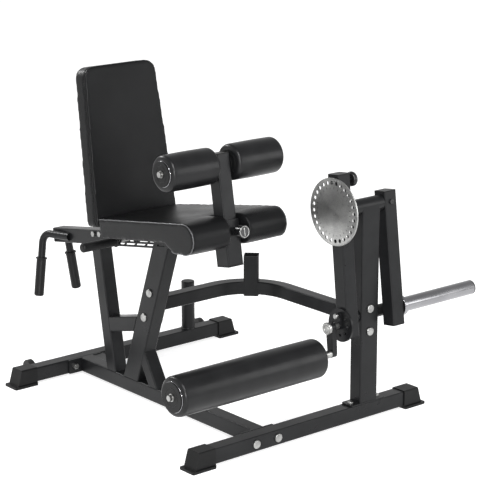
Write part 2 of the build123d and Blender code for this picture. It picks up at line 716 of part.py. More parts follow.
with BuildPart() as prone_handles:
    for hand in (-1, 1):
        add(handle(hand))
    # The handles stop at the walls of the rear tube.
    with BuildSketch(rail_across(RAIL_REAR, RAIL_TOP / 2)):
        RectangleRounded(TUBE, TUBE, CORNER)
    extrude(amount=200, mode=Mode.SUBTRACT)

with BuildPart() as prone_grips:
    for hand in (-1, 1):
        add(handle_grip(hand))

# ---------------------------------------------------------------- curved bar and socket
CURVE_X = -586.0
CURVE_R = 172.0
CURVE_Y = 430.0         # straight end of the bar, a little off the middle of the upright
ARC_Y = CURVE_Y - CURVE_R
UPRIGHT_BACK = PIVOT_X - TUBE / 2
UPRIGHT_FRONT = PIVOT_X + TUBE / 2
SOCKET_AT = (CURVE_X + CURVE_R * (1 - cos(radians(45))), ARC_Y + CURVE_R * sin(radians(45)))
SOCKET_TOP = 449.0
SOCKET_LOW = CURVE_Z - CURVE_TUBE / 2 - 5
UPRIGHT_BOLT_Z = (300.0, 376.0)

with BuildPart() as curved_bar:
    with BuildLine(Plane.XY.offset(CURVE_Z)) as path:
        Line((CURVE_X, TUBE / 2 + PLATE), (CURVE_X, ARC_Y))
        RadiusArc((CURVE_X, ARC_Y), (CURVE_X + CURVE_R, CURVE_Y), CURVE_R)
        Line((CURVE_X + CURVE_R, CURVE_Y), (UPRIGHT_BACK - PLATE, CURVE_Y))
    curve_start = (CURVE_X, TUBE / 2 + PLATE, CURVE_Z)
    with BuildSketch(Plane(origin=curve_start, x_dir=(1, 0, 0), z_dir=(0, 1, 0))):
        tube_section(CURVE_TUBE, CURVE_TUBE)
    sweep(path=path.line)
    with BuildSketch(Plane.XY.offset(SOCKET_LOW)):
        with Locations(Location((*SOCKET_AT, 0), (0, 0, 45))):
            RectangleRounded(TUBE, TUBE, CORNER)
    extrude(amount=120, mode=Mode.SUBTRACT)
    # End plates against the front post and the upright.
    post_plate = Plane(origin=POST_AT_CURVE + SIDEWAYS * (TUBE / 2), x_dir=FRONT_ACROSS, z_dir=SIDEWAYS)
    with BuildSketch(post_plate):
        RectangleRounded(60, 2 * POST_BOLT_REACH + 36, 6)
        with Locations((0, -POST_BOLT_REACH), (0, POST_BOLT_REACH)):
            Circle(BOLT, mode=Mode.SUBTRACT)
    extrude(amount=PLATE)
    with BuildSketch(facing(UPRIGHT_BACK - PLATE, UPRIGHT_Y, sum(UPRIGHT_BOLT_Z) / 2)):
        RectangleRounded(60, UPRIGHT_BOLT_Z[1] - UPRIGHT_BOLT_Z[0] + 40, 6)
        with Locations(*[(0, z - sum(UPRIGHT_BOLT_Z) / 2) for z in UPRIGHT_BOLT_Z]):
            Circle(BOLT, mode=Mode.SUBTRACT)
    extrude(amount=PLATE)

with BuildPart() as accessory_socket:
    with BuildSketch(Plane.XY.offset(SOCKET_LOW)):
        with Locations(Location((*SOCKET_AT, 0), (0, 0, 45))):
            tube_section(TUBE, TUBE, 2.5)
    extrude(amount=SOCKET_TOP - SOCKET_LOW)

# ---------------------------------------------------------------- upright and pivot housing
HOUSING_R = 25.0
HOUSING_IN = LEVER_Y + TUBE + 2
HOUSING_OUT = ARM_Y - 2
HOUSING_BORE = 21.5
STOP_Z = 352.0
STOP_GAP = 0.25
STOP_R = (PIVOT_Z - STOP_Z) * sin(radians(ARM_LEAN)) - TUBE / 2 - STOP_GAP
FOOT_PLATE_T = 5.0

with BuildPart() as main_upright:
    with BuildSketch(Plane.XY.offset(BAR_TOP + FOOT_PLATE_T)):
        with Locations((PIVOT_X, UPRIGHT_Y)):
            tube_section(TUBE, DEEP)
    extrude(amount=PIVOT_Z - BAR_TOP - FOOT_PLATE_T)
    with BuildSketch(Plane.XY.offset(BAR_TOP)):
        with Locations((FRONT_X, UPRIGHT_Y)):
            RectangleRounded(TUBE, 148, 6)
            with Locations(*[(0, y - UPRIGHT_Y) for y in UPRIGHT_BOLTS]):
                Circle(BOLT, mode=Mode.SUBTRACT)
    extrude(amount=FOOT_PLATE_T)
    add(rod((PIVOT_X, PIVOT_Z), HOUSING_IN, HOUSING_OUT, HOUSING_R), mode=Mode.SUBTRACT)
    add(rod((PIVOT_X, STOP_Z), HOUSING_IN, HOUSING_OUT, 8), mode=Mode.SUBTRACT)
    for z in UPRIGHT_BOLT_Z:
        with Locations((PIVOT_X, UPRIGHT_Y, z)):
            Cylinder(BOLT, TUBE + 2, rotation=(0, 90, 0), mode=Mode.SUBTRACT)

with BuildPart() as pivot_housing:
    add(rod((PIVOT_X, PIVOT_Z), HOUSING_IN, HOUSING_OUT, HOUSING_R, HOUSING_BORE))

with BuildPart() as pivot_bushings:
    for low in (HOUSING_IN, HOUSING_OUT - 22):
        add(rod((PIVOT_X, PIVOT_Z), low, low + 22, HOUSING_BORE, SHAFT_R + RUN))

with BuildPart() as stop_rod:
    add(rod((PIVOT_X, STOP_Z), UPRIGHT_Y - DEEP / 2 - 6, UPRIGHT_Y - DEEP / 2, STOP_R))
    add(rod((PIVOT_X, STOP_Z), UPRIGHT_Y - DEEP / 2, 528, 8))

with BuildPart() as stop_bumper:
    add(rod((PIVOT_X, STOP_Z), UPRIGHT_Y + DEEP / 2, 530, STOP_R, 8))
    add(rod((PIVOT_X, STOP_Z), 528, 530, 8))

# ---------------------------------------------------------------- storage post and wheels
STORE_Y = 471.0
STORE_TOP = 232.0
STORE_R = 24.0
with BuildPart() as storage_post:
    with BuildSketch(Plane.XY.offset(BAR_TOP)):
        with Locations((REAR_X, STORE_Y)):
            ring_section(STORE_R, STORE_R - 2.5)
    extrude(amount=STORE_TOP - BAR_TOP)

# Plastic plugs of the fixed tubes: rail end, knee sleeve bottom and storage post top.
with BuildPart() as frame_plugs:
    with BuildSketch(Plane.XY.offset(STORE_TOP)):
        with Locations((REAR_X, STORE_Y)):
            Circle(STORE_R)
    extrude(amount=5)
    fillet(frame_plugs.edges().filter_by(GeomType.CIRCLE).group_by(Axis.Z)[-1], 3.5)
    with BuildSketch(Plane.XY.offset(STORE_TOP - 12)):
        with Locations((REAR_X, STORE_Y)):
            Circle(STORE_R - 2.5)
    extrude(amount=12)
    with BuildSketch(rail_across(RAIL_REAR, RAIL_TOP / 2)):
        RectangleRounded(TUBE, TUBE, CORNER)
    extrude(amount=6)
    with BuildSketch(rail_across(RAIL_REAR + 6, RAIL_TOP / 2)):
        RectangleRounded(TUBE - 2 * WALL, TUBE - 2 * WALL, CORNER - WALL)
    extrude(amount=16)
    with BuildSketch(rail_top(SLEEVE_LOW, KNEE_S)):
        RectangleRounded(SLEEVE, SLEEVE, CORNER)
    extrude(amount=8)
    with BuildSketch(rail_top(SLEEVE_LOW + 8, KNEE_S)):
        RectangleRounded(TUBE, TUBE, CORNER)
    extrude(amount=6)

WHEEL_R = 27.0
WHEEL_W = 22.0
WHEEL_X = REAR_X - TUBE / 2 - 33
WHEEL_Z = 35.0
WHEEL_Y = {"left": 566.0, "right": -180.0}
WHEEL_PIN_R = 5.0
BRACKET_T = 3.0

with BuildPart() as wheel_brackets:
    for y in WHEEL_Y.values():
        for cheek in (-WHEEL_W / 2 - 1 - BRACKET_T, WHEEL_W / 2 + 1):
            with BuildSketch(side(y + cheek + BRACKET_T)):
                with BuildLine():
                    Polyline((REAR_X - TUBE / 2, 16), (REAR_X - TUBE / 2, 54), (WHEEL_X, WHEEL_Z + 11))
                    ThreePointArc((WHEEL_X, WHEEL_Z + 11), (WHEEL_X - 11, WHEEL_Z),
                                  (WHEEL_X, WHEEL_Z - 11))
                    Line((WHEEL_X, WHEEL_Z - 11), (REAR_X - TUBE / 2, 16))
                make_face()
            extrude(amount=BRACKET_T)
        reach = WHEEL_W / 2 + 1
        add(rod((WHEEL_X, WHEEL_Z), y - reach, y + reach, WHEEL_PIN_R))


def wheel(y):
    half = WHEEL_W / 2
    return rounded_rod((WHEEL_X, WHEEL_Z), y - half, y + half, WHEEL_R, 3, WHEEL_PIN_R + RUN)


with BuildPart() as transport_wheel_left:
    add(wheel(WHEEL_Y["left"]))
with BuildPart() as transport_wheel_right:
    add(wheel(WHEEL_Y["right"]))

# ---------------------------------------------------------------- rotor: shaft, disc, weight arm
with BuildPart() as pivot_shaft:
    add(rod((PIVOT_X, PIVOT_Z), LEVER_Y - 2, ARM_Y + TUBE - WALL, SHAFT_R))

HOLE_R = 6.0
with BuildPart() as selector_disc:
    disc_middle = PIVOT + SIDEWAYS * (LEVER_Y - 2)
    with BuildSketch(Plane(origin=disc_middle, x_dir=LEVER_ACROSS, z_dir=-SIDEWAYS)):
        Circle(DISC_R)
        with PolarLocations(DISC_RING, DISC_HOLES, start_angle=90):
            Circle(HOLE_R, mode=Mode.SUBTRACT)
    extrude(amount=DISC_T)

ARM_TOP = 36.0
ARM_BOTTOM = 400.0
with BuildPart() as weight_arm:
    with BuildSketch(leaning(down_arm(ARM_BOTTOM - 4, ARM_Y + TUBE / 2), ARM_ACROSS, ARM_UP)):
        tube_section(TUBE, TUBE)
    extrude(amount=ARM_BOTTOM + ARM_TOP - 8)
    add(rod((PIVOT_X, PIVOT_Z), ARM_Y - 1, ARM_Y + TUBE - WALL, SHAFT_R), mode=Mode.SUBTRACT)
    sleeve_at = down_arm(ARM_DROP)
    SLEEVE_CENTRE = (sleeve_at.X, sleeve_at.Z)
    add(rod(SLEEVE_CENTRE, ARM_Y + TUBE / 2, ARM_Y + TUBE + 1, 20.0), mode=Mode.SUBTRACT)

PEG_R = 24.0
PEG_OUT = 861.0
with BuildPart() as weight_sleeve:
    add(rod(SLEEVE_CENTRE, ARM_Y + TUBE, PEG_OUT, PEG_R, PEG_R - 3))
    add(rounded_rod(SLEEVE_CENTRE, ARM_Y + TUBE, ARM_Y + TUBE + 14, 33, 2, PEG_R - 1))
    add(rod(SLEEVE_CENTRE, ARM_Y + WALL, ARM_Y + TUBE, 20.0, 16.0))

with BuildPart() as weight_arm_caps:
    for drop in (-ARM_TOP, ARM_BOTTOM - 4):
        with BuildSketch(leaning(down_arm(drop + 4, ARM_Y + TUBE / 2), ARM_ACROSS, ARM_UP)):
            RectangleRounded(TUBE, TUBE, CORNER)
        extrude(amount=4)
    add(rod(SLEEVE_CENTRE, PEG_OUT, PEG_OUT + 4, PEG_R))
    add(rod(SLEEVE_CENTRE, PEG_OUT - 12, PEG_OUT, PEG_R - 3))

with BuildPart() as arm_lock_bolt:
    lock_plane = Plane(origin=PIVOT + ARM_ACROSS * (TUBE / 2) + SIDEWAYS * (ARM_Y + TUBE / 2),
                       x_dir=SIDEWAYS, z_dir=ARM_ACROSS)
    with BuildSketch(lock_plane):
        Circle(8)
    extrude(amount=5)

# ---------------------------------------------------------------- leg lever
LEVER_TOP = 117.0
LEVER_BOTTOM = 404.0
LEVER_MID = LEVER_Y + TUBE / 2
DOG_R = 4.6             # dog pin of the index knob
BUSH_R = 19.0
pin_spot = down_lever(-DISC_RING)
PIN_CENTRE = (pin_spot.X, pin_spot.Z)
index_spot = down_lever(INDEX_DROP)
INDEX_CENTRE = (index_spot.X, index_spot.Z)
INDEX_BOLT_R = 6.0

with BuildPart() as leg_lever:
    with BuildSketch(leaning(down_lever(LEVER_BOTTOM - 4, LEVER_MID), LEVER_ACROSS, LEVER_UP)):
        tube_section(TUBE, TUBE)
    extrude(amount=LEVER_BOTTOM + LEVER_TOP - 8)
    # Pivot bush welded through the tube, and the barrel of the selector pin.
    add(rod((PIVOT_X, PIVOT_Z), LEVER_Y - 1, LEVER_Y + TUBE + 1, BUSH_R))
    add(rod((PIVOT_X, PIVOT_Z), LEVER_Y - 2, LEVER_Y + TUBE + 2, SHAFT_R + RUN), mode=Mode.SUBTRACT)
    add(rod(PIN_CENTRE, LEVER_Y + TUBE - WALL, LEVER_Y + TUBE + 8, 14))
    add(rod(PIN_CENTRE, LEVER_Y - 1, LEVER_Y + TUBE + 9, PIN_R + RUN), mode=Mode.SUBTRACT)
    add(rod(INDEX_CENTRE, LEVER_Y - 1, LEVER_Y + TUBE / 2, INDEX_BOLT_R), mode=Mode.SUBTRACT)

with BuildPart() as leg_lever_caps:
    for drop in (-LEVER_TOP + 4, LEVER_BOTTOM):
        with BuildSketch(leaning(down_lever(drop, LEVER_MID), LEVER_ACROSS, LEVER_UP)):
            RectangleRounded(TUBE, TUBE, CORNER)
        extrude(amount=4)

with BuildPart() as selector_pin:
    # Drawn parked: the tip is just clear of the disc.
    add(rod(PIN_CENTRE, LEVER_Y - 1.4, LEVER_Y + TUBE + 22, PIN_R - 0.05))
    add(rounded_rod(PIN_CENTRE, LEVER_Y + TUBE + 18, LEVER_Y + TUBE + 36, 23.5, 7))

INDEX_T = 8.0
INDEX_FACE = LEVER_Y - INDEX_T
with BuildPart() as index_plate:
    add(rod(INDEX_CENTRE, INDEX_FACE, LEVER_Y, INDEX_R, INDEX_BOLT_R))
    plate_middle = index_spot + SIDEWAYS * LEVER_Y
    with BuildSketch(Plane(origin=plate_middle, x_dir=LEVER_ACROSS, z_dir=-SIDEWAYS)):
        with PolarLocations(INDEX_RING, INDEX_HOLES, start_angle=90 - LEVER_LEAN):
            Circle(5)
    extrude(amount=INDEX_T, mode=Mode.SUBTRACT)

# ---------------------------------------------------------------- roller arm
STRAP_NEAR = 234.0
STRAP_FAR = 252.0
CRANK_T = 8.0
CRANK_FAR = INDEX_FACE - 2.0
CRANK_NEAR = CRANK_FAR - CRANK_T
SPACER_R = 8.5
AXLE_R = 12.0

# Pivot bolt of the roller arm: a broad head in front of the arm, a nut inside the lever.
with BuildPart() as index_bolt:
    add(rod(INDEX_CENTRE, STRAP_NEAR - 4, LEVER_Y + WALL + 10, INDEX_BOLT_R))
    add(rod(INDEX_CENTRE, LEVER_Y + WALL, LEVER_Y + WALL + 10, 14, INDEX_BOLT_R))
    add(rounded_rod(INDEX_CENTRE, STRAP_NEAR - 12, STRAP_NEAR - 2, 19.5, 2.5))

# The index pin meets the hole straight above the pivot.
DOG_CENTRE = (INDEX_CENTRE[0], INDEX_CENTRE[1] + INDEX_RING)


def bar_between(a, b, half_a, half_b):
    """Tapered strap outline between two centres with round ends."""
    with Locations(a):
        Circle(half_a)
    with Locations(b):
        Circle(half_b)
    run = hypot(b[0] - a[0], b[1] - a[1])
    ux, uz = (b[0] - a[0]) / run, (b[1] - a[1]) / run
    Polygon((a[0] - uz * half_a, a[1] + ux * half_a), (b[0] - uz * half_b, b[1] + ux * half_b),
            (b[0] + uz * half_b, b[1] - ux * half_b), (a[0] + uz * half_a, a[1] - ux * half_a),
            align=None)


# One arm down to the roller axle, one crank up over the index plate, a spacer tube between.
with BuildPart() as roller_arm:
    with BuildSketch(side(STRAP_FAR)):
        bar_between(INDEX_CENTRE, (ROLLER_X, ROLLER_Z), 15, 13)
    extrude(amount=STRAP_FAR - STRAP_NEAR)
    with BuildSketch(side(CRANK_FAR)):
        bar_between(INDEX_CENTRE, DOG_CENTRE, 13, 10)
    extrude(amount=CRANK_T)
    add(rod(INDEX_CENTRE, STRAP_FAR - 1, CRANK_NEAR + 1, SPACER_R))
    add(rod(INDEX_CENTRE, STRAP_NEAR - 1, CRANK_FAR + 1, INDEX_BOLT_R + RUN), mode=Mode.SUBTRACT)
    add(rod(DOG_CENTRE, CRANK_NEAR - 1, CRANK_FAR + 1, DOG_R + RUN), mode=Mode.SUBTRACT)

with BuildPart() as roller_axle:
    add(rod((ROLLER_X, ROLLER_Z), ROLLER_NEAR + 2, STRAP_NEAR, AXLE_R))
    add(rod((ROLLER_X, ROLLER_Z), ROLLER_FAR + 9, ROLLER_FAR + 15, 20))
    add(rod((ROLLER_X, ROLLER_Z), ROLLER_NEAR - 8, ROLLER_NEAR + 2, 9))

# Index pin, pulled by its round head and drawn parked just clear of the index plate.
with BuildPart() as index_knob:
    add(rod(DOG_CENTRE, CRANK_NEAR - 10, INDEX_FACE - PARKED, DOG_R))
    add(rounded_rod(DOG_CENTRE, CRANK_NEAR - 14, CRANK_NEAR - 3, 8.5, 2))

ROLLER_CENTRE = (ROLLER_X, ROLLER_Z)
ROLLER_CAP_R = 46.0
with BuildPart() as long_roller:
    add(foam_roller(ROLLER_CENTRE, ROLLER_NEAR + 8, ROLLER_FAR, ROLLER_R))
with BuildPart() as long_roller_caps:
    add(roller_caps(ROLLER_CENTRE, ROLLER_NEAR + 8 - CAP_GAP, ROLLER_FAR + CAP_GAP, ROLLER_CAP_R,
                    AXLE_R + RUN))

# ---------------------------------------------------------------- fasteners of the frame
RACK_BOLT_S = (-168.0, -132.0)
RACK_BOLT_N = 37.0
with BuildPart() as frame_bolts:
    for y in JOINT_BOLTS:
        add(bolt(facing(0, y, BOLT_Z), TUBE + PLATE + 10))
        rear_face = Plane(origin=(REAR_X - TUBE / 2, y, BOLT_Z), x_dir=(0, 1, 0), z_dir=(-1, 0, 0))
        add(bolt(rear_face, TUBE + PLATE + 10))
    for z in UPRIGHT_BOLT_Z:
        add(bolt(facing(UPRIGHT_FRONT, UPRIGHT_Y, z), TUBE + PLATE + 10))
    for centre in POST_BOLTS:
        face = Plane(origin=centre - SIDEWAYS * (TUBE / 2), x_dir=(1, 0, 0), z_dir=(0, -1, 0))
        add(bolt(face, TUBE + PLATE + 10))
    for y in UPRIGHT_BOLTS:
        top = Plane(origin=(FRONT_X, y, BAR_TOP + FOOT_PLATE_T), x_dir=(1, 0, 0), z_dir=(0, 0, 1))
        add(bolt(top, 10, head=10))

    for y in JOINT_BOLTS:
        front_inner = Plane(origin=(BEAM_FRONT - PLATE, y, BOLT_Z), x_dir=(0, 1, 0), z_dir=(-1, 0, 0))
        add(nut(front_inner))
        add(nut(facing(BEAM_REAR + PLATE, y, BOLT_Z)))
    for z in UPRIGHT_BOLT_Z:
        back = Plane(origin=(UPRIGHT_BACK - PLATE, UPRIGHT_Y, z), x_dir=(0, 1, 0), z_dir=(-1, 0, 0))
        if abs(z - CURVE_Z) > CURVE_TUBE / 2 + 11:
            add(nut(back))
    for centre in POST_BOLTS:
        far_face = centre + SIDEWAYS * (TUBE / 2 + PLATE)
        add(nut(Plane(origin=far_face, x_dir=(1, 0, 0), z_dir=(0, 1, 0))))

    # Bolts through the rack plates and the flat seat tube.
    for along in RACK_BOLT_S:
        for hand in (-1, 1):
            face = Plane(origin=on_rail(along, hand * (RACK_Y + RACK_T), RACK_BOLT_N),
                         x_dir=RAIL_ALONG, z_dir=SIDEWAYS * hand)
            with BuildSketch(face):
                RegularPolygon(8.5, 6, major_radius=False)
            extrude(amount=6)

# ---------------------------------------------------------------- save every part
PARTS = {
    "rear_crossbar": rear_crossbar.part,
    "front_crossbar": front_crossbar.part,
    "base_beam": base_beam.part,
    "foot_caps": foot_caps.part,
    "rear_post": rear_post.part,
    "front_post": front_post.part,
    "post_tie": post_tie.part,
    "front_brace": front_brace.part,
    "rear_tube": rear_tube.part,
    "seat_rail": seat_rail.part,
    "notch_rack": notch_rack.part,
    "hinge_pin": hinge_pin.part,
    "knee_sleeve": knee_sleeve.part,
    "frame_plugs": frame_plugs.part,
    "seat_board": seat_board.part,
    "seat_pad": seat_pad.part,
    "prone_handles": prone_handles.part,
    "prone_grips": prone_grips.part,
    "curved_bar": curved_bar.part,
    "accessory_socket": accessory_socket.part,
    "main_upright": main_upright.part,
    "pivot_housing": pivot_housing.part,
    "pivot_bushings": pivot_bushings.part,
    "stop_rod": stop_rod.part,
    "stop_bumper": stop_bumper.part,
    "storage_post": storage_post.part,
    "wheel_brackets": wheel_brackets.part,
    "transport_wheel_left": transport_wheel_left.part,
    "transport_wheel_right": transport_wheel_right.part,
    "frame_bolts": frame_bolts.part,
    "backrest_pad": backrest_pad.part,
    "backrest_board": backrest_board.part,
    "backrest_frame": backrest_frame.part,
    "backrest_screws": backrest_screws.part,
    "adjust_bar": adjust_bar.part,
    "adjust_grips": adjust_grips.part,
    "knee_post": knee_post.part,
    "knee_post_cap": knee_post_cap.part,
    "knee_axle": knee_axle.part,
    "knee_roller_left": knee_roller_left.part,
    "knee_caps_left": knee_caps_left.part,
    "knee_roller_right": knee_roller_right.part,
    "knee_caps_right": knee_caps_right.part,
    "knee_pin": knee_pin.part,
    "pivot_shaft": pivot_shaft.part,
    "selector_disc": selector_disc.part,
    "weight_arm": weight_arm.part,
    "weight_arm_caps": weight_arm_caps.part,
    "weight_sleeve": weight_sleeve.part,
    "arm_lock_bolt": arm_lock_bolt.part,
    "leg_lever": leg_lever.part,
    "leg_lever_caps": leg_lever_caps.part,
    "selector_pin": selector_pin.part,
    "index_plate": index_plate.part,
    "index_bolt": index_bolt.part,
    "roller_arm": roller_arm.part,
    "roller_axle": roller_axle.part,
    "index_knob": index_knob.part,
    "long_roller": long_roller.part,
    "long_roller_caps": long_roller_caps.part,
}

boxes = [part.bounding_box() for part in PARTS.values()]
low = [min(getattr(box.min, axis) for box in boxes) for axis in "XYZ"]
high = [max(getattr(box.max, axis) for box in boxes) for axis in "XYZ"]
SHIFT = Location((-(low[0] + high[0]) / 2, -(low[1] + high[1]) / 2, -low[2]))
for name, part in PARTS.items():
    placed = part.moved(SHIFT)
    placed.label = name
    export_step(placed, f"parts/{name}.step")
print("nodes", len(PARTS), "size", [round(h - l, 1) for h, l in zip(high, low)], "shift", SHIFT.position)
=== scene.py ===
import json
import math

import bmesh
import bpy
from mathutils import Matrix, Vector
from mathutils.bvhtree import BVHTree


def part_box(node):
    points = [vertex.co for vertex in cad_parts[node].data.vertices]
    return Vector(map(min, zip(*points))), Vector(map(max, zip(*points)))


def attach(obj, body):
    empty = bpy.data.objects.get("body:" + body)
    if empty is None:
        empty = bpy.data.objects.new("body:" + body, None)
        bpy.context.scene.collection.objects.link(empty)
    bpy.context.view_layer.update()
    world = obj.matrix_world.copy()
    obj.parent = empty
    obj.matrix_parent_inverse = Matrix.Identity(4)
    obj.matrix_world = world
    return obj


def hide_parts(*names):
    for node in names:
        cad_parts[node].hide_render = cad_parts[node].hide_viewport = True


# Looks of the leg extension machine. Everything is in metres in the frame of the CAD model:
# +X is forward (the way the user faces), +Y is the user's left, +Z is up, the floor is Z = 0.

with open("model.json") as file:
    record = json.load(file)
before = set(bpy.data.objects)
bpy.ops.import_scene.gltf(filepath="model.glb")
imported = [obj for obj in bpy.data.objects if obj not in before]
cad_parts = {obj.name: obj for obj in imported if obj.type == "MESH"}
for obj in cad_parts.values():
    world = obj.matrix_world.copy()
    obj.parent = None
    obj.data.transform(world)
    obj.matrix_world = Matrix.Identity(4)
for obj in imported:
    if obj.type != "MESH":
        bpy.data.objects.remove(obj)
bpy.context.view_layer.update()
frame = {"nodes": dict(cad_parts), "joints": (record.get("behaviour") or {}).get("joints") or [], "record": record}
NODES = frame["nodes"]
JOINTS = {joint["name"]: joint for joint in frame["joints"]}
scene = bpy.context.scene
MM = 0.001
SIDES = (("left", 1), ("right", -1))     # the user's sides, and the sign of their Y


# ---------------------------------------------------------------- places taken from the frame
def joint_at(name):
    return Vector(JOINTS[name]["pos_m"])


ALONG = Vector(JOINTS["adjust_bar_travel"]["axis"])    # up the seat rail, towards the front
SIDE = Vector((0, 1, 0))                               # the user's left
UP = ALONG.cross(SIDE)                                 # square to the rail
HINGE_S = 12 * MM                                      # backrest hinge, along the rail
HINGE_N = 66 * MM                                      # ... and above the rail line
RAIL_ORIGIN = joint_at("backrest_recline") - ALONG * HINGE_S - UP * HINGE_N


def rail(s, y, n):
    """Point s along the rail, y left of its middle and n above the rail line."""
    return RAIL_ORIGIN + ALONG * s + SIDE * y + UP * n


def rail_coordinates(point):
    offset = point - RAIL_ORIGIN
    return offset.dot(ALONG), offset.dot(SIDE), offset.dot(UP)


def middle(node):
    low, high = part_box(node)
    return (Vector(low) + Vector(high)) / 2


# ---------------------------------------------------------------- node material helpers
class Shader:
    """A material with one Principled shader and short calls to add procedural detail."""

    def __init__(self, name, colour, roughness, metallic=0.0, specular=0.5):
        self.material = bpy.data.materials.new(name)
        self.material.use_nodes = True
        self.tree = self.material.node_tree
        self.principled = self.tree.nodes["Principled BSDF"]
        self.set("Base Color", (*colour, 1))
        self.set("Roughness", roughness)
        self.set("Metallic", metallic)
        self.set("Specular IOR Level", specular)
        self.place = self.tree.nodes.new("ShaderNodeTexCoord").outputs["Object"]

    def set(self, socket, value):
        self.principled.inputs[socket].default_value = value

    def link(self, output, node_input):
        self.tree.links.new(output, node_input)

    def stretched(self, stretch, origin=(0, 0, 0)):
        """Object coordinates, moved to an origin and scaled per axis."""
        mapping = self.tree.nodes.new("ShaderNodeMapping")
        mapping.vector_type = "POINT"
        mapping.inputs["Scale"].default_value = stretch
        mapping.inputs["Location"].default_value = [-o * s for o, s in zip(origin, stretch)]
        self.link(self.place, mapping.inputs["Vector"])
        return mapping.outputs["Vector"]

    def noise(self, scale, detail=3.0, vector=None):
        texture = self.tree.nodes.new("ShaderNodeTexNoise")
        texture.inputs["Scale"].default_value = scale
        texture.inputs["Detail"].default_value = detail
        self.link(vector or self.place, texture.inputs["Vector"])
        return texture.outputs["Fac"]

    def cells(self, scale, feature="F1", vector=None):
        texture = self.tree.nodes.new("ShaderNodeTexVoronoi")
        texture.feature = feature
        texture.inputs["Scale"].default_value = scale
        self.link(vector or self.place, texture.inputs["Vector"])
        return texture.outputs["Distance"]

    def ranged(self, source, low, high, at=(0.3, 0.7)):
        """Maps a texture's value to a range of numbers."""
        node = self.tree.nodes.new("ShaderNodeMapRange")
        node.inputs["From Min"].default_value = at[0]
        node.inputs["From Max"].default_value = at[1]
        node.inputs["To Min"].default_value = low
        node.inputs["To Max"].default_value = high
        self.link(source, node.inputs["Value"])
        return node.outputs["Result"]

    def combine(self, a, b, operation="ADD"):
        node = self.tree.nodes.new("ShaderNodeMath")
        node.operation = operation
        self.link(a, node.inputs[0])
        if isinstance(b, (int, float)):
            node.inputs[1].default_value = b
        else:
            self.link(b, node.inputs[1])
        return node.outputs["Value"]

    def rough(self, source, low, high):
        self.link(self.ranged(source, low, high), self.principled.inputs["Roughness"])

    def tint(self, source, dark, light, at=(0.3, 0.7)):
        """Colour that varies between two shades with a texture."""
        mix = self.tree.nodes.new("ShaderNodeMix")
        mix.data_type = "RGBA"
        mix.inputs["A"].default_value = (*dark, 1)
        mix.inputs["B"].default_value = (*light, 1)
        self.link(self.ranged(source, 0, 1, at), mix.inputs["Factor"])
        self.link(mix.outputs["Result"], self.principled.inputs["Base Color"])

    def bump(self, height, depth, strength=1.0):
        """Bump of a given depth in metres."""
        node = self.tree.nodes.new("ShaderNodeBump")
        node.inputs["Distance"].default_value = depth
        node.inputs["Strength"].default_value = strength
        self.link(height, node.inputs["Height"])
        self.link(node.outputs["Normal"], self.principled.inputs["Normal"])


# ---------------------------------------------------------------- materials
def powder_coat():
    """Satin black powder coat with a fine orange peel and faint handling marks."""
    paint = Shader("powder_coat", (0.008, 0.0082, 0.0088), 0.32, specular=0.18)
    peel = paint.noise(520, 2)
    paint.rough(paint.noise(9, 4), 0.27, 0.38)
    paint.tint(paint.noise(14, 3), (0.0062, 0.0064, 0.0069), (0.0096, 0.0099, 0.0106))
    paint.bump(peel, 0.00012, 0.6)
    return paint.material


def vinyl():
    """Black upholstery vinyl: pebbled grain, fine pores and a slow variation in gloss."""
    cover = Shader("vinyl", (0.005, 0.0051, 0.0055), 0.36, specular=0.14)
    grain = cover.cells(430, "DISTANCE_TO_EDGE")
    pores = cover.noise(1100, 2)
    cover.rough(cover.noise(7, 4), 0.30, 0.40)
    cover.tint(cover.noise(5, 3), (0.0035, 0.0036, 0.0039), (0.0055, 0.0057, 0.0061))
    pebbles = cover.ranged(grain, 0, 1, (0.0, 0.25))
    height = cover.combine(pebbles, cover.combine(pores, 0.35, "MULTIPLY"))
    cover.bump(height, 0.00018, 0.55)
    return cover.material


def foam_skin():
    """Smooth skin of the black foam rollers, with very fine pores."""
    skin = Shader("foam_skin", (0.005, 0.0051, 0.0054), 0.33, specular=0.24)
    skin.rough(skin.noise(10, 4), 0.28, 0.38)
    skin.tint(skin.noise(18, 4), (0.0045, 0.0046, 0.005), (0.0075, 0.0077, 0.0082))
    skin.bump(skin.noise(1500, 2), 0.00006, 0.5)
    return skin.material


def moulded(name, colour, roughness, grain=900, specular=0.3):
    """Moulded plastic with a spark-eroded texture."""
    plastic = Shader(name, colour, roughness, specular=specular)
    plastic.rough(plastic.noise(12, 3), roughness - 0.05, roughness + 0.06)
    plastic.tint(plastic.noise(20, 3), [c * 0.85 for c in colour], [c * 1.15 for c in colour])
    plastic.bump(plastic.noise(grain, 2), 0.0001, 0.5)
    return plastic.material


def zinc():
    """Zinc-plated steel: slightly cloudy, with fine scratches."""
    steel = Shader("zinc_plate", (0.48, 0.48, 0.475), 0.32, metallic=1.0)
    steel.tint(steel.noise(60, 5), (0.26, 0.26, 0.255), (0.40, 0.40, 0.39))
    steel.rough(steel.noise(90, 4), 0.24, 0.42)
    steel.bump(steel.noise(400, 3), 0.00006, 0.5)
    return steel.material


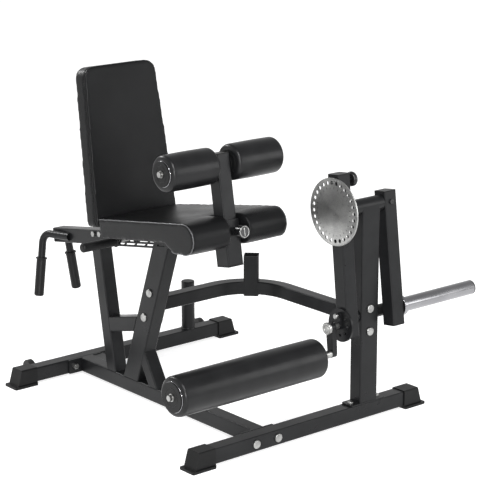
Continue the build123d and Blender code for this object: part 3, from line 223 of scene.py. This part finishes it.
def brushed_disc(centre):
    """Turned steel of the selector disc: fine rings round the pivot, with a spun sheen."""
    steel = Shader("turned_steel", (0.66, 0.66, 0.65), 0.30, metallic=1.0)
    steel.set("Anisotropic", 0.75)
    tangent = steel.tree.nodes.new("ShaderNodeTangent")
    tangent.direction_type = "RADIAL"
    tangent.axis = "Y"
    steel.link(tangent.outputs["Tangent"], steel.principled.inputs["Tangent"])
    flat = steel.stretched((1, 0, 1), origin=centre)
    length = steel.tree.nodes.new("ShaderNodeVectorMath")
    length.operation = "LENGTH"
    steel.link(flat, length.inputs[0])
    rings = steel.tree.nodes.new("ShaderNodeTexNoise")
    rings.noise_dimensions = "1D"
    rings.inputs["Scale"].default_value = 1400
    rings.inputs["Detail"].default_value = 2
    steel.link(length.outputs["Value"], rings.inputs["W"])
    steel.link(steel.ranged(rings.outputs["Fac"], 0.24, 0.40), steel.principled.inputs["Roughness"])
    steel.tint(steel.noise(30, 3), (0.36, 0.36, 0.355), (0.48, 0.48, 0.47))
    steel.bump(rings.outputs["Fac"], 0.00004, 0.4)
    return steel.material


def chrome():
    """Chrome plate of the weight sleeve, lightly rubbed by the plates that slide on it."""
    plate = Shader("chrome_plate", (0.74, 0.74, 0.75), 0.14, metallic=1.0)
    rubbed = plate.stretched((1, 0.06, 1))
    plate.rough(plate.noise(160, 4, rubbed), 0.10, 0.26)
    plate.tint(plate.noise(8, 3), (0.25, 0.25, 0.26), (0.33, 0.33, 0.34))
    return plate.material


def board_cover():
    """Black painted plywood behind the upholstery."""
    board = Shader("board_paint", (0.03, 0.029, 0.028), 0.7)
    grain = board.stretched((6, 6, 60))
    board.tint(board.noise(10, 4, grain), (0.022, 0.021, 0.020), (0.045, 0.043, 0.041))
    board.rough(board.noise(30, 3), 0.6, 0.8)
    board.bump(board.noise(25, 4, grain), 0.0002, 0.5)
    return board.material


PAINT = powder_coat()
VINYL = vinyl()
FOAM = foam_skin()
CAP_PLASTIC = moulded("cap_plastic", (0.005, 0.0051, 0.0053), 0.38, specular=0.16)
KNOB_PLASTIC = moulded("knob_plastic", (0.006, 0.006, 0.0065), 0.22, 1500, specular=0.4)
GRIP_RUBBER = moulded("grip_rubber", (0.006, 0.006, 0.0063), 0.44, 700, specular=0.2)
WHEEL_RUBBER = moulded("wheel_rubber", (0.012, 0.012, 0.012), 0.5)
NYLON = moulded("bush_nylon", (0.62, 0.61, 0.57), 0.45)
# Light grey of the seat's seam beads: painted highlight for the light caught along the seat's edges, far lighter
# than the black vinyl the seams are sewn from.
PIPING_PAINTED_HIGHLIGHT = moulded("piping_painted_highlight", (0.060, 0.061, 0.064), 0.30, 600, specular=0.5)
WELD = moulded("weld_bead", (0.012, 0.0123, 0.013), 0.30, 250)
ZINC = zinc()
TURNED = brushed_disc(middle("selector_disc"))
CHROME = chrome()
BOARD = board_cover()
ETCH = moulded("etched_mark", (0.03, 0.03, 0.03), 0.6)

LOOKS = {
    "frame_paint": PAINT,
    "upholstery": VINYL,
    "roller_foam": FOAM,
    "pad_board": BOARD,
    "cap_plastic": CAP_PLASTIC,
    "knob_plastic": KNOB_PLASTIC,
    "grip_rubber": GRIP_RUBBER,
    "bumper_rubber": GRIP_RUBBER,
    "zinc_steel": ZINC,
    "chrome_steel": CHROME,
    "bush_nylon": NYLON,
    "wheel_rubber": WHEEL_RUBBER,
}


def dress(node, material):
    """Gives a CAD node's material slots a material of the scene."""
    slots = NODES[node].material_slots
    for slot in slots:
        slot.material = material


for subpart in frame["record"]["subparts"]:
    dress(subpart["node"], LOOKS[subpart["material_slot"]])
dress("selector_disc", TURNED)


# ---------------------------------------------------------------- mesh helpers
def new_object(name, mesh, material, body):
    piece = bpy.data.objects.new(name, mesh)
    scene.collection.objects.link(piece)
    piece.data.materials.clear()
    piece.data.materials.append(material)
    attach(piece, body)
    return piece


def smooth(mesh, angle=35):
    """Smooth shading that keeps edges sharper than the angle."""
    mesh.polygons.foreach_set("use_smooth", [True] * len(mesh.polygons))
    form = bmesh.new()
    form.from_mesh(mesh)
    for edge in form.edges:
        edge.smooth = len(edge.link_faces) == 2 and edge.calc_face_angle(0) < math.radians(angle)
    form.to_mesh(mesh)
    form.free()


def square_axes(direction):
    """Two unit vectors square to a direction and to each other."""
    helper = Vector((0, 0, 1)) if abs(direction.z) < 0.9 else Vector((1, 0, 0))
    first = direction.cross(helper).normalized()
    return first, direction.cross(first).normalized()


def lathe(name, start, direction, profile, material, body, steps=72, closed=False):
    """Turned piece; profile is (distance along the axis, radius) and runs round the section."""
    direction = direction.normalized()
    across, other = square_axes(direction)
    form = bmesh.new()
    rings = []
    for distance, radius in profile:
        centre = start + direction * distance
        if radius < 1e-6:
            rings.append([form.verts.new(centre)])
            continue
        ring = []
        for step in range(steps):
            a = 2 * math.pi * step / steps
            offset = across * (radius * math.cos(a)) + other * (radius * math.sin(a))
            ring.append(form.verts.new(centre + offset))
        rings.append(ring)
    pairs = list(zip(rings, rings[1:]))
    if closed:
        pairs.append((rings[-1], rings[0]))
    for ring, following in pairs:
        for step in range(steps):
            after = (step + 1) % steps
            corners = [ring[step % len(ring)], following[step % len(following)],
                       following[after % len(following)], ring[after % len(ring)]]
            corners = list(dict.fromkeys(corners))
            if len(corners) > 2:
                form.faces.new(corners)
    bmesh.ops.recalc_face_normals(form, faces=form.faces)
    mesh = bpy.data.meshes.new(name)
    form.to_mesh(mesh)
    form.free()
    smooth(mesh)
    return new_object(name, mesh, material, body)


def corner_arc(centre, radius, start, end, steps=6):
    """Points (distance, radius) of an arc in a lathe profile, angles in degrees."""
    points = []
    for step in range(steps + 1):
        a = math.radians(start + (end - start) * step / steps)
        points.append((centre[0] + radius * math.cos(a), centre[1] + radius * math.sin(a)))
    return points


def torus(name, centre, direction, ring, wire, material, body):
    """Wire ring of a round section, in twelve flats."""
    profile = corner_arc((0, ring), wire, 0, 330, 11)
    return lathe(name, centre, direction, profile, material, body, closed=True)


def tube_along(name, points, radius, material, body, closed=False):
    """Round bead along a list of points."""
    curve = bpy.data.curves.new(name, "CURVE")
    curve.dimensions = "3D"
    curve.bevel_depth = radius
    curve.bevel_resolution = 3
    spline = curve.splines.new("POLY")
    spline.points.add(len(points) - 1)
    for target, point in zip(spline.points, points):
        target.co = (*point, 1)
    spline.use_cyclic_u = closed
    carrier = bpy.data.objects.new(name + "_line", curve)
    scene.collection.objects.link(carrier)
    bpy.context.view_layer.update()
    mesh = bpy.data.meshes.new_from_object(carrier.evaluated_get(bpy.context.evaluated_depsgraph_get()))
    bpy.data.objects.remove(carrier)
    smooth(mesh, 60)
    return new_object(name, mesh, material, body)


# ---------------------------------------------------------------- upholstered pads
PAD_VOXEL = 5 * MM
SWELL_FRAMES = 20
SWELL_PRESSURE = 4.0
SMOOTH_TIMES = 6
SEAM_GAP = 8 * MM          # between the points of a seam


def joined_copy(name, sources):
    """One mesh made of several closed meshes, each a (mesh, change-vertex function) pair."""
    form = bmesh.new()
    for mesh, change in sources:
        part = bmesh.new()
        part.from_mesh(mesh)
        for vertex in part.verts:
            vertex.co = change(vertex.co.copy())
        moved = bpy.data.meshes.new("moved")
        part.to_mesh(moved)
        part.free()
        form.from_mesh(moved)
    mesh = bpy.data.meshes.new(name)
    form.to_mesh(mesh)
    form.free()
    return mesh


def evaluated_mesh(piece):
    bpy.context.view_layer.update()
    graph = bpy.context.evaluated_depsgraph_get()
    return bpy.data.meshes.new_from_object(piece.evaluated_get(graph), depsgraph=graph)


def remeshed(piece, voxel):
    remesh = piece.modifiers.new("Remesh", "REMESH")
    remesh.mode = "VOXEL"
    remesh.voxel_size = voxel
    mesh = evaluated_mesh(piece)
    piece.modifiers.clear()
    piece.data = mesh


def inset(piece, amount):
    for vertex, normal in zip(piece.data.vertices, [v.normal.copy() for v in piece.data.vertices]):
        vertex.co -= normal * amount


def swell(piece, held, pressure, limit):
    """Blows the closed cover up with Cloth pressure; held points stay, no point passes the limit."""
    start = [vertex.co.copy() for vertex in piece.data.vertices]
    group = piece.vertex_groups.new(name="held")
    group.add([i for i, point in enumerate(start) if held(point)], 1.0, "REPLACE")
    cloth = piece.modifiers.new("Cloth", "CLOTH")
    cloth.settings.quality = 5
    cloth.settings.mass = 0.3
    cloth.settings.use_pressure = True
    cloth.settings.uniform_pressure_force = pressure
    cloth.settings.vertex_group_mass = "held"
    cloth.settings.effector_weights.gravity = 0
    cloth.collision_settings.use_collision = False
    cloth.point_cache.frame_end = SWELL_FRAMES
    for number in range(1, SWELL_FRAMES + 1):
        scene.frame_set(number)
    puffed = evaluated_mesh(piece)
    piece.modifiers.clear()
    piece.vertex_groups.clear()
    for vertex, home, moved in zip(piece.data.vertices, start, puffed.vertices):
        travel = moved.co - home
        if travel.length > limit:
            travel = travel.normalized() * limit
        vertex.co = home + travel
    scene.frame_set(1)


def relaxed(piece, times):
    """Evens the mesh out and adds one subdivision."""
    even = piece.modifiers.new("Even", "SMOOTH")
    even.factor = 0.5
    even.iterations = times
    finer = piece.modifiers.new("Finer", "SUBSURF")
    finer.levels = 1
    finer.render_levels = 1
    mesh = evaluated_mesh(piece)
    piece.modifiers.clear()
    piece.data = mesh
    mesh.polygons.foreach_set("use_smooth", [True] * len(mesh.polygons))


def on_surface(piece, points, lift=0.0):
    """The points moved onto the piece's surface, lifted off it a little."""
    form = bmesh.new()
    form.from_mesh(piece.data)
    tree = BVHTree.FromBMesh(form)
    placed = []
    for point in points:
        spot, normal, _, _ = tree.find_nearest(point)
        placed.append(spot + normal * lift)
    form.free()
    return placed


def groove(piece, points, width, depth):
    """Presses a sewn line into the surface along the points."""
    line = [(a, b) for a, b in zip(points, points[1:]) if (b - a).length > 0.1 * MM]
    mesh = piece.data
    reach = 2.5 * width
    lowest = [min(p[i] for p in points) - reach for i in range(3)]
    highest = [max(p[i] for p in points) + reach for i in range(3)]
    normals = [v.normal.copy() for v in mesh.vertices]
    for vertex, normal in zip(mesh.vertices, normals):
        place = vertex.co
        if any(place[i] < lowest[i] or place[i] > highest[i] for i in range(3)):
            continue
        nearest = reach
        for a, b in line:
            run = b - a
            t = max(0.0, min(1.0, (place - a).dot(run) / run.length_squared))
            nearest = min(nearest, (place - a - run * t).length)
        if nearest < reach:
            vertex.co = place - normal * depth * math.exp(-(nearest / width) ** 2)


def evenly(points, gap, closed=False):
    """The same line with points about a gap apart."""
    if closed:
        points = points + [points[0]]
    result = []
    for a, b in zip(points, points[1:]):
        count = max(1, round((b - a).length / gap))
        result += [a.lerp(b, step / count) for step in range(count)]
    if not closed:
        result.append(points[-1])
    return result


def rounded_outline(corners, radii, steps=8):
    """Closed 2D outline with rounded corners."""
    outline = []
    count = len(corners)
    for index, (corner, radius) in enumerate(zip(corners, radii)):
        here = Vector(corner)
        before = (Vector(corners[index - 1]) - here).normalized()
        after = (Vector(corners[(index + 1) % count]) - here).normalized()
        half = before.angle(after) / 2
        tangent = radius / math.tan(half)
        centre = here + (before + after).normalized() * (radius / math.sin(half))
        first = here + before * tangent - centre
        last = here + after * tangent - centre
        for step in range(steps + 1):
            outline.append(centre + first.slerp(last, step / steps))
    return outline


def make_pad(name, body, node, board, board_change, held, limit, shrink=1 * MM):
    """Upholstered pad grown from the CAD pad, its board pocket filled first."""
    mesh = joined_copy(name, [(NODES[node].data, lambda co: co), (NODES[board].data, board_change)])
    pad = new_object(name, mesh, VINYL, body)
    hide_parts(node)
    remeshed(pad, PAD_VOXEL)
    inset(pad, shrink)
    swell(pad, held, SWELL_PRESSURE, limit)
    relaxed(pad, SMOOTH_TIMES)
    pad.data.materials.clear()
    pad.data.materials.append(VINYL)
    return pad


# Seat: the board fills its pocket, and the underside stays flat on the board.
SEAT_TOP = 115 * MM
SEAT_BASE = 50 * MM
SEAT_REAR = 60 * MM
SEAT_HALF_REAR = 162 * MM
SEAT_HALF_FRONT = 188 * MM
ROLL_S = 537 * MM
ROLL_N = 65 * MM
ROLL_R = 50 * MM
UNDER_S = 425 * MM         # the flat underside ends here
RIM = 9 * MM               # points this close to a pad's edge stay put
BACKING = 12 * MM          # points this close to a pad's flat underside or back stay put
BOARD_LIFT = 1.5 * MM      # the board's filling reaches this far into the pad


def seat_half(s):
    """Half width of the seat at s."""
    share = (s - SEAT_REAR) / (ROLL_S + ROLL_R - SEAT_REAR)
    return SEAT_HALF_REAR + (SEAT_HALF_FRONT - SEAT_HALF_REAR) * share


def seat_board_fill(point):
    """The board made a little larger sideways and raised, so it fills the pad's pocket."""
    centre = middle("seat_board")
    s, y, n = rail_coordinates(point)
    centre_s = rail_coordinates(centre)[0]
    return rail(centre_s + (s - centre_s) * 1.01, y * 1.01, n + BOARD_LIFT)


def seat_held(point):
    """Points of the seat that stay put: along both sides and underneath."""
    s, y, n = rail_coordinates(point)
    under = n < SEAT_BASE + BACKING and s < UNDER_S + 20 * MM
    return under or abs(y) > seat_half(s) - RIM


def seat_edge(hand):
    """Seam round one side of the seat: along the top, round the front roll and back below."""
    profile = [(SEAT_REAR, SEAT_TOP), (ROLL_S, SEAT_TOP)]
    turn_steps = 12
    for step in range(1, turn_steps + 1):
        a = math.radians(90 - 180 * step / turn_steps)
        profile.append((ROLL_S + ROLL_R * math.cos(a), ROLL_N + ROLL_R * math.sin(a)))
    profile.append((UNDER_S + 30 * MM, ROLL_N - ROLL_R + 4 * MM))
    return evenly([rail(s, hand * seat_half(s), n) for s, n in profile], SEAM_GAP)


seat = make_pad("seat_cushion", "frame", "seat_pad", "seat_board", seat_board_fill, seat_held, 4 * MM)
for side_name, hand in SIDES:
    edge = on_surface(seat, seat_edge(hand))
    groove(seat, edge, 4 * MM, 0.8 * MM)
    line = on_surface(seat, edge, 1.0 * MM)
    # Real seam bead along the seat's edge, coloured with the painted-highlight grey.
    tube_along("seat_seam_highlight_" + side_name, line, 1.7 * MM, PIPING_PAINTED_HIGHLIGHT, "frame")

# Backrest: flat behind, a seam round the face.
PAD_FRONT = 57 * MM
PAD_BACK = -5 * MM
PAD_LOW = 84 * MM
PAD_HIGH = 600 * MM
PAD_HALF_LOW = 165 * MM
PAD_HALF_HIGH = 140 * MM
LOW_CORNER = 16 * MM
HIGH_CORNER = 36 * MM


def back_board_fill(point):
    """The board made a little larger and moved forward, so it fills the pad's pocket."""
    s, y, n = rail_coordinates(point)
    centre_n = (PAD_LOW + PAD_HIGH) / 2
    return rail(s + BOARD_LIFT, y * 1.012, centre_n + (n - centre_n) * 1.008)


def back_half(n):
    """Half width of the backrest at a height along it."""
    share = (n - PAD_LOW) / (PAD_HIGH - PAD_LOW)
    return PAD_HALF_LOW + (PAD_HALF_HIGH - PAD_HALF_LOW) * share


def back_held(point):
    """Points of the backrest that stay put: all round its edge and behind."""
    s, y, n = rail_coordinates(point)
    rim = abs(y) > back_half(n) - RIM or n > PAD_HIGH - RIM or n < PAD_LOW + RIM
    return rim or s < PAD_BACK + BACKING


def back_edge(edge_inset, s):
    """Outline of the backrest's face at a distance in from its edge."""
    low = PAD_LOW + edge_inset
    high = PAD_HIGH - edge_inset
    half_low = PAD_HALF_LOW - edge_inset
    half_high = PAD_HALF_HIGH - edge_inset
    corners = [(-half_low, low), (half_low, low), (half_high, high), (-half_high, high)]
    outline = rounded_outline(corners, [LOW_CORNER, LOW_CORNER, HIGH_CORNER, HIGH_CORNER])
    return evenly([rail(s, y, n) for y, n in outline], SEAM_GAP, closed=True)


back = make_pad("backrest_cushion", "backrest", "backrest_pad", "backrest_board",
                back_board_fill, back_held, 5 * MM)
face_edge = on_surface(back, back_edge(2 * MM, PAD_FRONT))
groove(back, face_edge + face_edge[:1], 4 * MM, 1.4 * MM)
face_line = on_surface(back, face_edge, 0.3 * MM)
tube_along("backrest_seam", face_line, 1.5 * MM, VINYL, "backrest", closed=True)


# ---------------------------------------------------------------- foam rollers
def foam_roller(name, node, body, radius, bore):
    """Foam roller: rounded shoulders, and a slight bulge in the middle."""
    low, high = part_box(node)
    centre = middle(node)
    length = high[1] - low[1]
    start = Vector((centre.x, low[1], centre.z))
    shoulder = 12 * MM
    bulge = 0.8 * MM
    body_length = length - 2 * shoulder
    profile = [(0, bore), (0, radius - shoulder - 3 * MM)]
    profile += corner_arc((shoulder, radius - shoulder), shoulder, 180, 90, 8)
    for step in range(1, 12):
        share = step / 12
        bulged = radius + bulge * math.sin(math.pi * share)
        profile.append((shoulder + body_length * share, bulged))
    profile += corner_arc((length - shoulder, radius - shoulder), shoulder, 90, 0, 8)
    profile += [(length, radius - shoulder - 3 * MM), (length, bore)]
    roller = lathe(name, start, SIDE, profile, FOAM, body, steps=96, closed=True)
    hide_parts(node)


FOAM_BORE = 22.3 * MM
KNEE_FOAM_R = 57 * MM
ANKLE_FOAM_R = 62 * MM
foam_roller("knee_foam_left", "knee_roller_left", "knee_roll_left", KNEE_FOAM_R, FOAM_BORE)
foam_roller("knee_foam_right", "knee_roller_right", "knee_roll_right", KNEE_FOAM_R, FOAM_BORE)
foam_roller("ankle_foam", "long_roller", "ankle_roll", ANKLE_FOAM_R, FOAM_BORE)


def roller_rings(node, caps, body, radius, ends):
    """Bright rings where the outer end discs meet the foam."""
    low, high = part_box(node)
    centre = middle(node)
    for end in ends:
        y = low[1] if end == "right" else high[1]
        spot = Vector((centre.x, y, centre.z))
        name = f"{caps}_ring_{end}"
        torus(name, spot, SIDE, radius + 0.4 * MM, 1.3 * MM, CHROME, body)


KNEE_CAP_R = 39 * MM
ANKLE_CAP_R = 46 * MM
roller_rings("knee_roller_left", "knee_left", "knee_roll_left", KNEE_CAP_R, ("left",))
roller_rings("knee_roller_right", "knee_right", "knee_roll_right", KNEE_CAP_R, ("right",))
roller_rings("long_roller", "ankle", "ankle_roll", ANKLE_CAP_R, ("right", "left"))


# ---------------------------------------------------------------- knee knob and roller discs
def knob_face(name, centre, direction, radius, body):
    """Bright ring round the face of a pull knob, with a small bar across it."""
    direction = direction.normalized()
    torus(name + "_ring", centre, direction, radius - 3 * MM, 1.6 * MM, ZINC, body)
    other = square_axes(direction)[1]
    reach = other * (radius - 7 * MM)
    ends = [centre - reach, centre + reach]
    tube_along(name + "_bar", evenly(ends, 3 * MM), 2.0 * MM, ZINC, body)


KNEE_S = 514 * MM          # middle of the knee post, along the rail
KNEE_PIN_N = 62 * MM       # height of its pull pin
KNOB_REACH = 88 * MM       # from the middle of the post to the face of the knob
KNOB_R = 20 * MM
knob_face("knee_knob", rail(KNEE_S + KNOB_REACH, 0, KNEE_PIN_N), ALONG, KNOB_R, "knee_lock")


def cap_ring(name, node, body, radius):
    """Raised ring moulded on both end discs of a roller, sunk a little into them."""
    low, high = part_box(node)
    centre = middle(node)
    sunk = 0.4 * MM
    for end, y in (("right", low[1] + sunk), ("left", high[1] - sunk)):
        spot = Vector((centre.x, y, centre.z))
        torus(f"{name}_{end}", spot, SIDE, radius, 1.0 * MM, CAP_PLASTIC, body)


RING_SHARE = 0.62          # radius of the moulded ring, as a share of the disc's
cap_ring("knee_left_disc", "knee_caps_left", "knee_roll_left", KNEE_CAP_R * RING_SHARE)
cap_ring("knee_right_disc", "knee_caps_right", "knee_roll_right", KNEE_CAP_R * RING_SHARE)
cap_ring("ankle_disc", "long_roller_caps", "ankle_roll", ANKLE_CAP_R * RING_SHARE)


# ---------------------------------------------------------------- selector disc
DISC_TICKS = 28
TICK_RING = 72 * MM        # inner ends of the ticks
TICK_HALF = 0.8 * MM
TICK_PROUD = 0.12 * MM     # how far a tick stands off the disc
TICK_DEEP = 0.3 * MM


def tick(form, centre, angle, reach):
    """One thin bar pointing away from the centre."""
    outward = Vector((math.cos(angle), 0, math.sin(angle)))
    sideways = Vector((-math.sin(angle), 0, math.cos(angle))) * TICK_HALF
    base = centre + outward * TICK_RING
    tip = outward * reach
    corners = [base - sideways, base + sideways, base + sideways + tip, base - sideways + tip]
    front = [form.verts.new(corner) for corner in corners]
    back = [form.verts.new(corner + SIDE * TICK_DEEP) for corner in corners]
    form.faces.new(front)
    form.faces.new(back[::-1])
    for a in range(4):
        b = (a + 1) % 4
        form.faces.new([front[a], front[b], back[b], back[a]])


def disc_details():
    """Short dark ticks inside the ring of holes, as many as the holes, and a bright rim."""
    centre = middle("selector_disc")
    face_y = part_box("selector_disc")[0][1]
    form = bmesh.new()
    for mark in range(DISC_TICKS):
        reach = 8 * MM if mark % 2 else 5 * MM
        start = Vector((centre.x, face_y - TICK_PROUD, centre.z))
        tick(form, start, 2 * math.pi * mark / DISC_TICKS, reach)
    bmesh.ops.recalc_face_normals(form, faces=form.faces)
    mesh = bpy.data.meshes.new("disc_ticks")
    form.to_mesh(mesh)
    form.free()
    new_object("disc_ticks", mesh, ETCH, "rotor")
    rim = Vector((centre.x, face_y + 1 * MM, centre.z))
    torus("disc_rim", rim, SIDE, 106.5 * MM, 1.3 * MM, ZINC, "rotor")


disc_details()


# ---------------------------------------------------------------- index pivot of the roller arm
ARM_THICK = 18 * MM        # the roller arm, across its width
SLEEVE_LENGTH = 18.4 * MM
SLEEVE_BORE = 8.6 * MM
SLEEVE_R = 10.8 * MM
CHAMFER = 0.8 * MM


def index_sleeve():
    """Bright sleeve over the spacer tube between the roller arm and its crank."""
    axis = middle("index_bolt")
    arm_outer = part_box("roller_arm")[0][1]
    bolt_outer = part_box("index_bolt")[0][1]
    start = Vector((axis.x, arm_outer + ARM_THICK + 0.3 * MM, axis.z))
    profile = [
        (0, SLEEVE_BORE), (0, SLEEVE_R - CHAMFER), (CHAMFER, SLEEVE_R),
        (SLEEVE_LENGTH - CHAMFER, SLEEVE_R), (SLEEVE_LENGTH, SLEEVE_R - CHAMFER),
        (SLEEVE_LENGTH, SLEEVE_BORE),
    ]
    lathe("index_sleeve", start, SIDE, profile, ZINC, "ankle_arm", closed=True)
    face = Vector((axis.x, bolt_outer + 0.2 * MM, axis.z))
    torus("index_head_ring", face, SIDE, 11 * MM, 1.2 * MM, ZINC, "lever")


index_sleeve()


# ---------------------------------------------------------------- weld bead and collar line
PEG_START = 62 * MM        # from the sleeve's end inside the weight arm to its collar's face


def post_bead():
    """Weld bead round the foot of the storage post."""
    post = middle("storage_post")
    foot = Vector((post.x, post.y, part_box("storage_post")[0][2] + 1.5 * MM))
    upward = Vector((0, 0, 1))
    torus("storage_post_bead", foot, upward, 24.2 * MM, 2 * MM, WELD, "frame")


def collar_line():
    """Bright line where the weight sleeve leaves its collar."""
    sleeve = middle("weight_sleeve")
    end = Vector((sleeve.x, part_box("weight_sleeve")[0][1] + PEG_START, sleeve.z))
    torus("sleeve_collar_line", end, SIDE, 24.6 * MM, 1.2 * MM, CHROME, "rotor")


post_bead()
collar_line()


# ---------------------------------------------------------------- grips
GRIP_FLANGE_T = 5 * MM
RIB_PITCH = 5 * MM
RIB_DEPTH = 0.5 * MM
GRIP_ROUND = 7 * MM        # rounding of a grip's end


def ribbed_grip(name, start, end, radius, bore, flange, body):
    """Rubber grip with shallow ribs and a flange at its start."""
    run = end - start
    length = run.length
    edge = 1 * MM
    profile = [(0, bore), (0, flange - edge), (edge, flange)]
    profile += [(GRIP_FLANGE_T - edge, flange), (GRIP_FLANGE_T, flange - edge)]
    ribs = int((length - 16 * MM) / RIB_PITCH)
    for rib in range(ribs):
        at = 7 * MM + rib * RIB_PITCH
        profile.append((at, radius - RIB_DEPTH))
        profile.append((at + RIB_PITCH * 0.3, radius))
        profile.append((at + RIB_PITCH * 0.7, radius))
    profile += corner_arc((length - GRIP_ROUND, radius - GRIP_ROUND), GRIP_ROUND, 90, 0, 6)
    profile.append((length, 0))
    return lathe(name, start, run, profile, GRIP_RUBBER, body, steps=48)


ADJUST_GRIP_IN = 40 * MM


def adjust_grips():
    """Grips on both ends of the backrest's adjust bar."""
    low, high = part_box("adjust_grips")
    centre = middle("adjust_grips")
    for side_name, hand in SIDES:
        inner = Vector((centre.x, centre.y + hand * ADJUST_GRIP_IN, centre.z))
        outer = Vector((centre.x, high[1] if hand > 0 else low[1], centre.z))
        name = "adjust_grip_" + side_name
        grip = ribbed_grip(name, inner, outer, 15.5 * MM, 6 * MM, 19 * MM, "adjuster")
        if hand > 0:
            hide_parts("adjust_grips")


# The prone handles' bend and end, and the lever pivot, in the drawing's own millimetres.
HANDLE_BEND = (-1149, 48, 474)
HANDLE_END = (-1141, 79, 258)
DRAWN_PIVOT = Vector((-26, 430, 710))
HANDLE_SHIFT = joint_at("weight_arm_swing") - DRAWN_PIVOT * MM
GRIP_LENGTH = 132 * MM
GRIP_PAST = 4 * MM         # the grip's closed end stands this far past the tube


def handle_point(drawn, hand):
    """A point of the left handle, or its mirror on the right one, in the frame."""
    x, y, z = drawn
    return Vector((x, hand * y, z)) * MM + HANDLE_SHIFT


def prone_grips():
    """Grips on the lower ends of the prone handles."""
    for side_name, hand in SIDES:
        end = handle_point(HANDLE_END, hand)
        down = (end - handle_point(HANDLE_BEND, hand)).normalized()
        top = end - down * GRIP_LENGTH
        bottom = end + down * GRIP_PAST
        name = "prone_grip_" + side_name
        grip = ribbed_grip(name, top, bottom, 17 * MM, 13.2 * MM, 20 * MM, "frame")
        if hand > 0:
            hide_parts("prone_grips")


adjust_grips()
prone_grips()


# ---------------------------------------------------------------- floor, light, camera
def studio_floor():
    """Plain pale floor, lit a little from within so that it stays white to the horizon."""
    form = bmesh.new()
    bmesh.ops.create_grid(form, x_segments=2, y_segments=2, size=40)
    mesh = bpy.data.meshes.new("studio_floor")
    form.to_mesh(mesh)
    form.free()
    floor = bpy.data.objects.new("studio_floor", mesh)
    scene.collection.objects.link(floor)
    floor.location.z = -0.5 * MM
    pale = Shader("studio_pale", (0.62, 0.62, 0.62), 0.9, specular=0.1)
    pale.set("Emission Color", (1, 1, 1, 1))
    pale.set("Emission Strength", 0.72)
    floor.data.materials.append(pale.material)


def softbox(name, place, target, size, power):
    """Rectangular area light that points at a target."""
    light = bpy.data.lights.new(name, "AREA")
    light.shape = "RECTANGLE"
    light.size, light.size_y = size
    light.energy = power
    lamp = bpy.data.objects.new(name, light)
    scene.collection.objects.link(lamp)
    lamp.location = place
    lamp.rotation_euler = (Vector(target) - Vector(place)).to_track_quat("-Z", "Y").to_euler()


def sky(tree):
    """White all round at the horizon, darker overhead."""
    place = tree.nodes.new("ShaderNodeTexCoord").outputs["Generated"]
    height = tree.nodes.new("ShaderNodeSeparateXYZ")
    tree.links.new(place, height.inputs["Vector"])
    ramp = tree.nodes.new("ShaderNodeValToRGB")
    ramp.color_ramp.elements[0].position = 0.25
    ramp.color_ramp.elements[0].color = (1, 1, 1, 1)
    ramp.color_ramp.elements[1].position = 0.95
    ramp.color_ramp.elements[1].color = (0.42, 0.42, 0.43, 1)
    tree.links.new(height.outputs["Z"], ramp.inputs["Fac"])
    tree.links.new(ramp.outputs["Color"], tree.nodes["Background"].inputs["Color"])
    tree.nodes["Background"].inputs["Strength"].default_value = 0.85


studio_floor()
world = bpy.data.worlds.new("studio")
scene.world = world
world.use_nodes = True
sky(world.node_tree)
AIM = (0, -0.1, 0.5)
softbox("key", (2.4, -1.6, 3.4), AIM, (1.4, 1.2), 110)
softbox("fill", (3.2, 2.2, 1.5), AIM, (1.2, 1.8), 26)
softbox("rim", (-2.9, -1.0, 2.6), AIM, (1.0, 0.7), 60)
softbox("front", (5.3, -4.3, 2.1), AIM, (0.6, 0.3), 260)

camera_data = bpy.data.cameras.new("camera")
camera_data.sensor_width = 36
camera_data.lens = 132.98
camera = bpy.data.objects.new("camera", camera_data)
scene.collection.objects.link(camera)
camera.location = (4.5993, -3.7155, 2.1025)
camera.rotation_euler = [math.radians(a) for a in (74.74, 0, 49.97)]
scene.camera = camera
scene.view_settings.view_transform = "Standard"
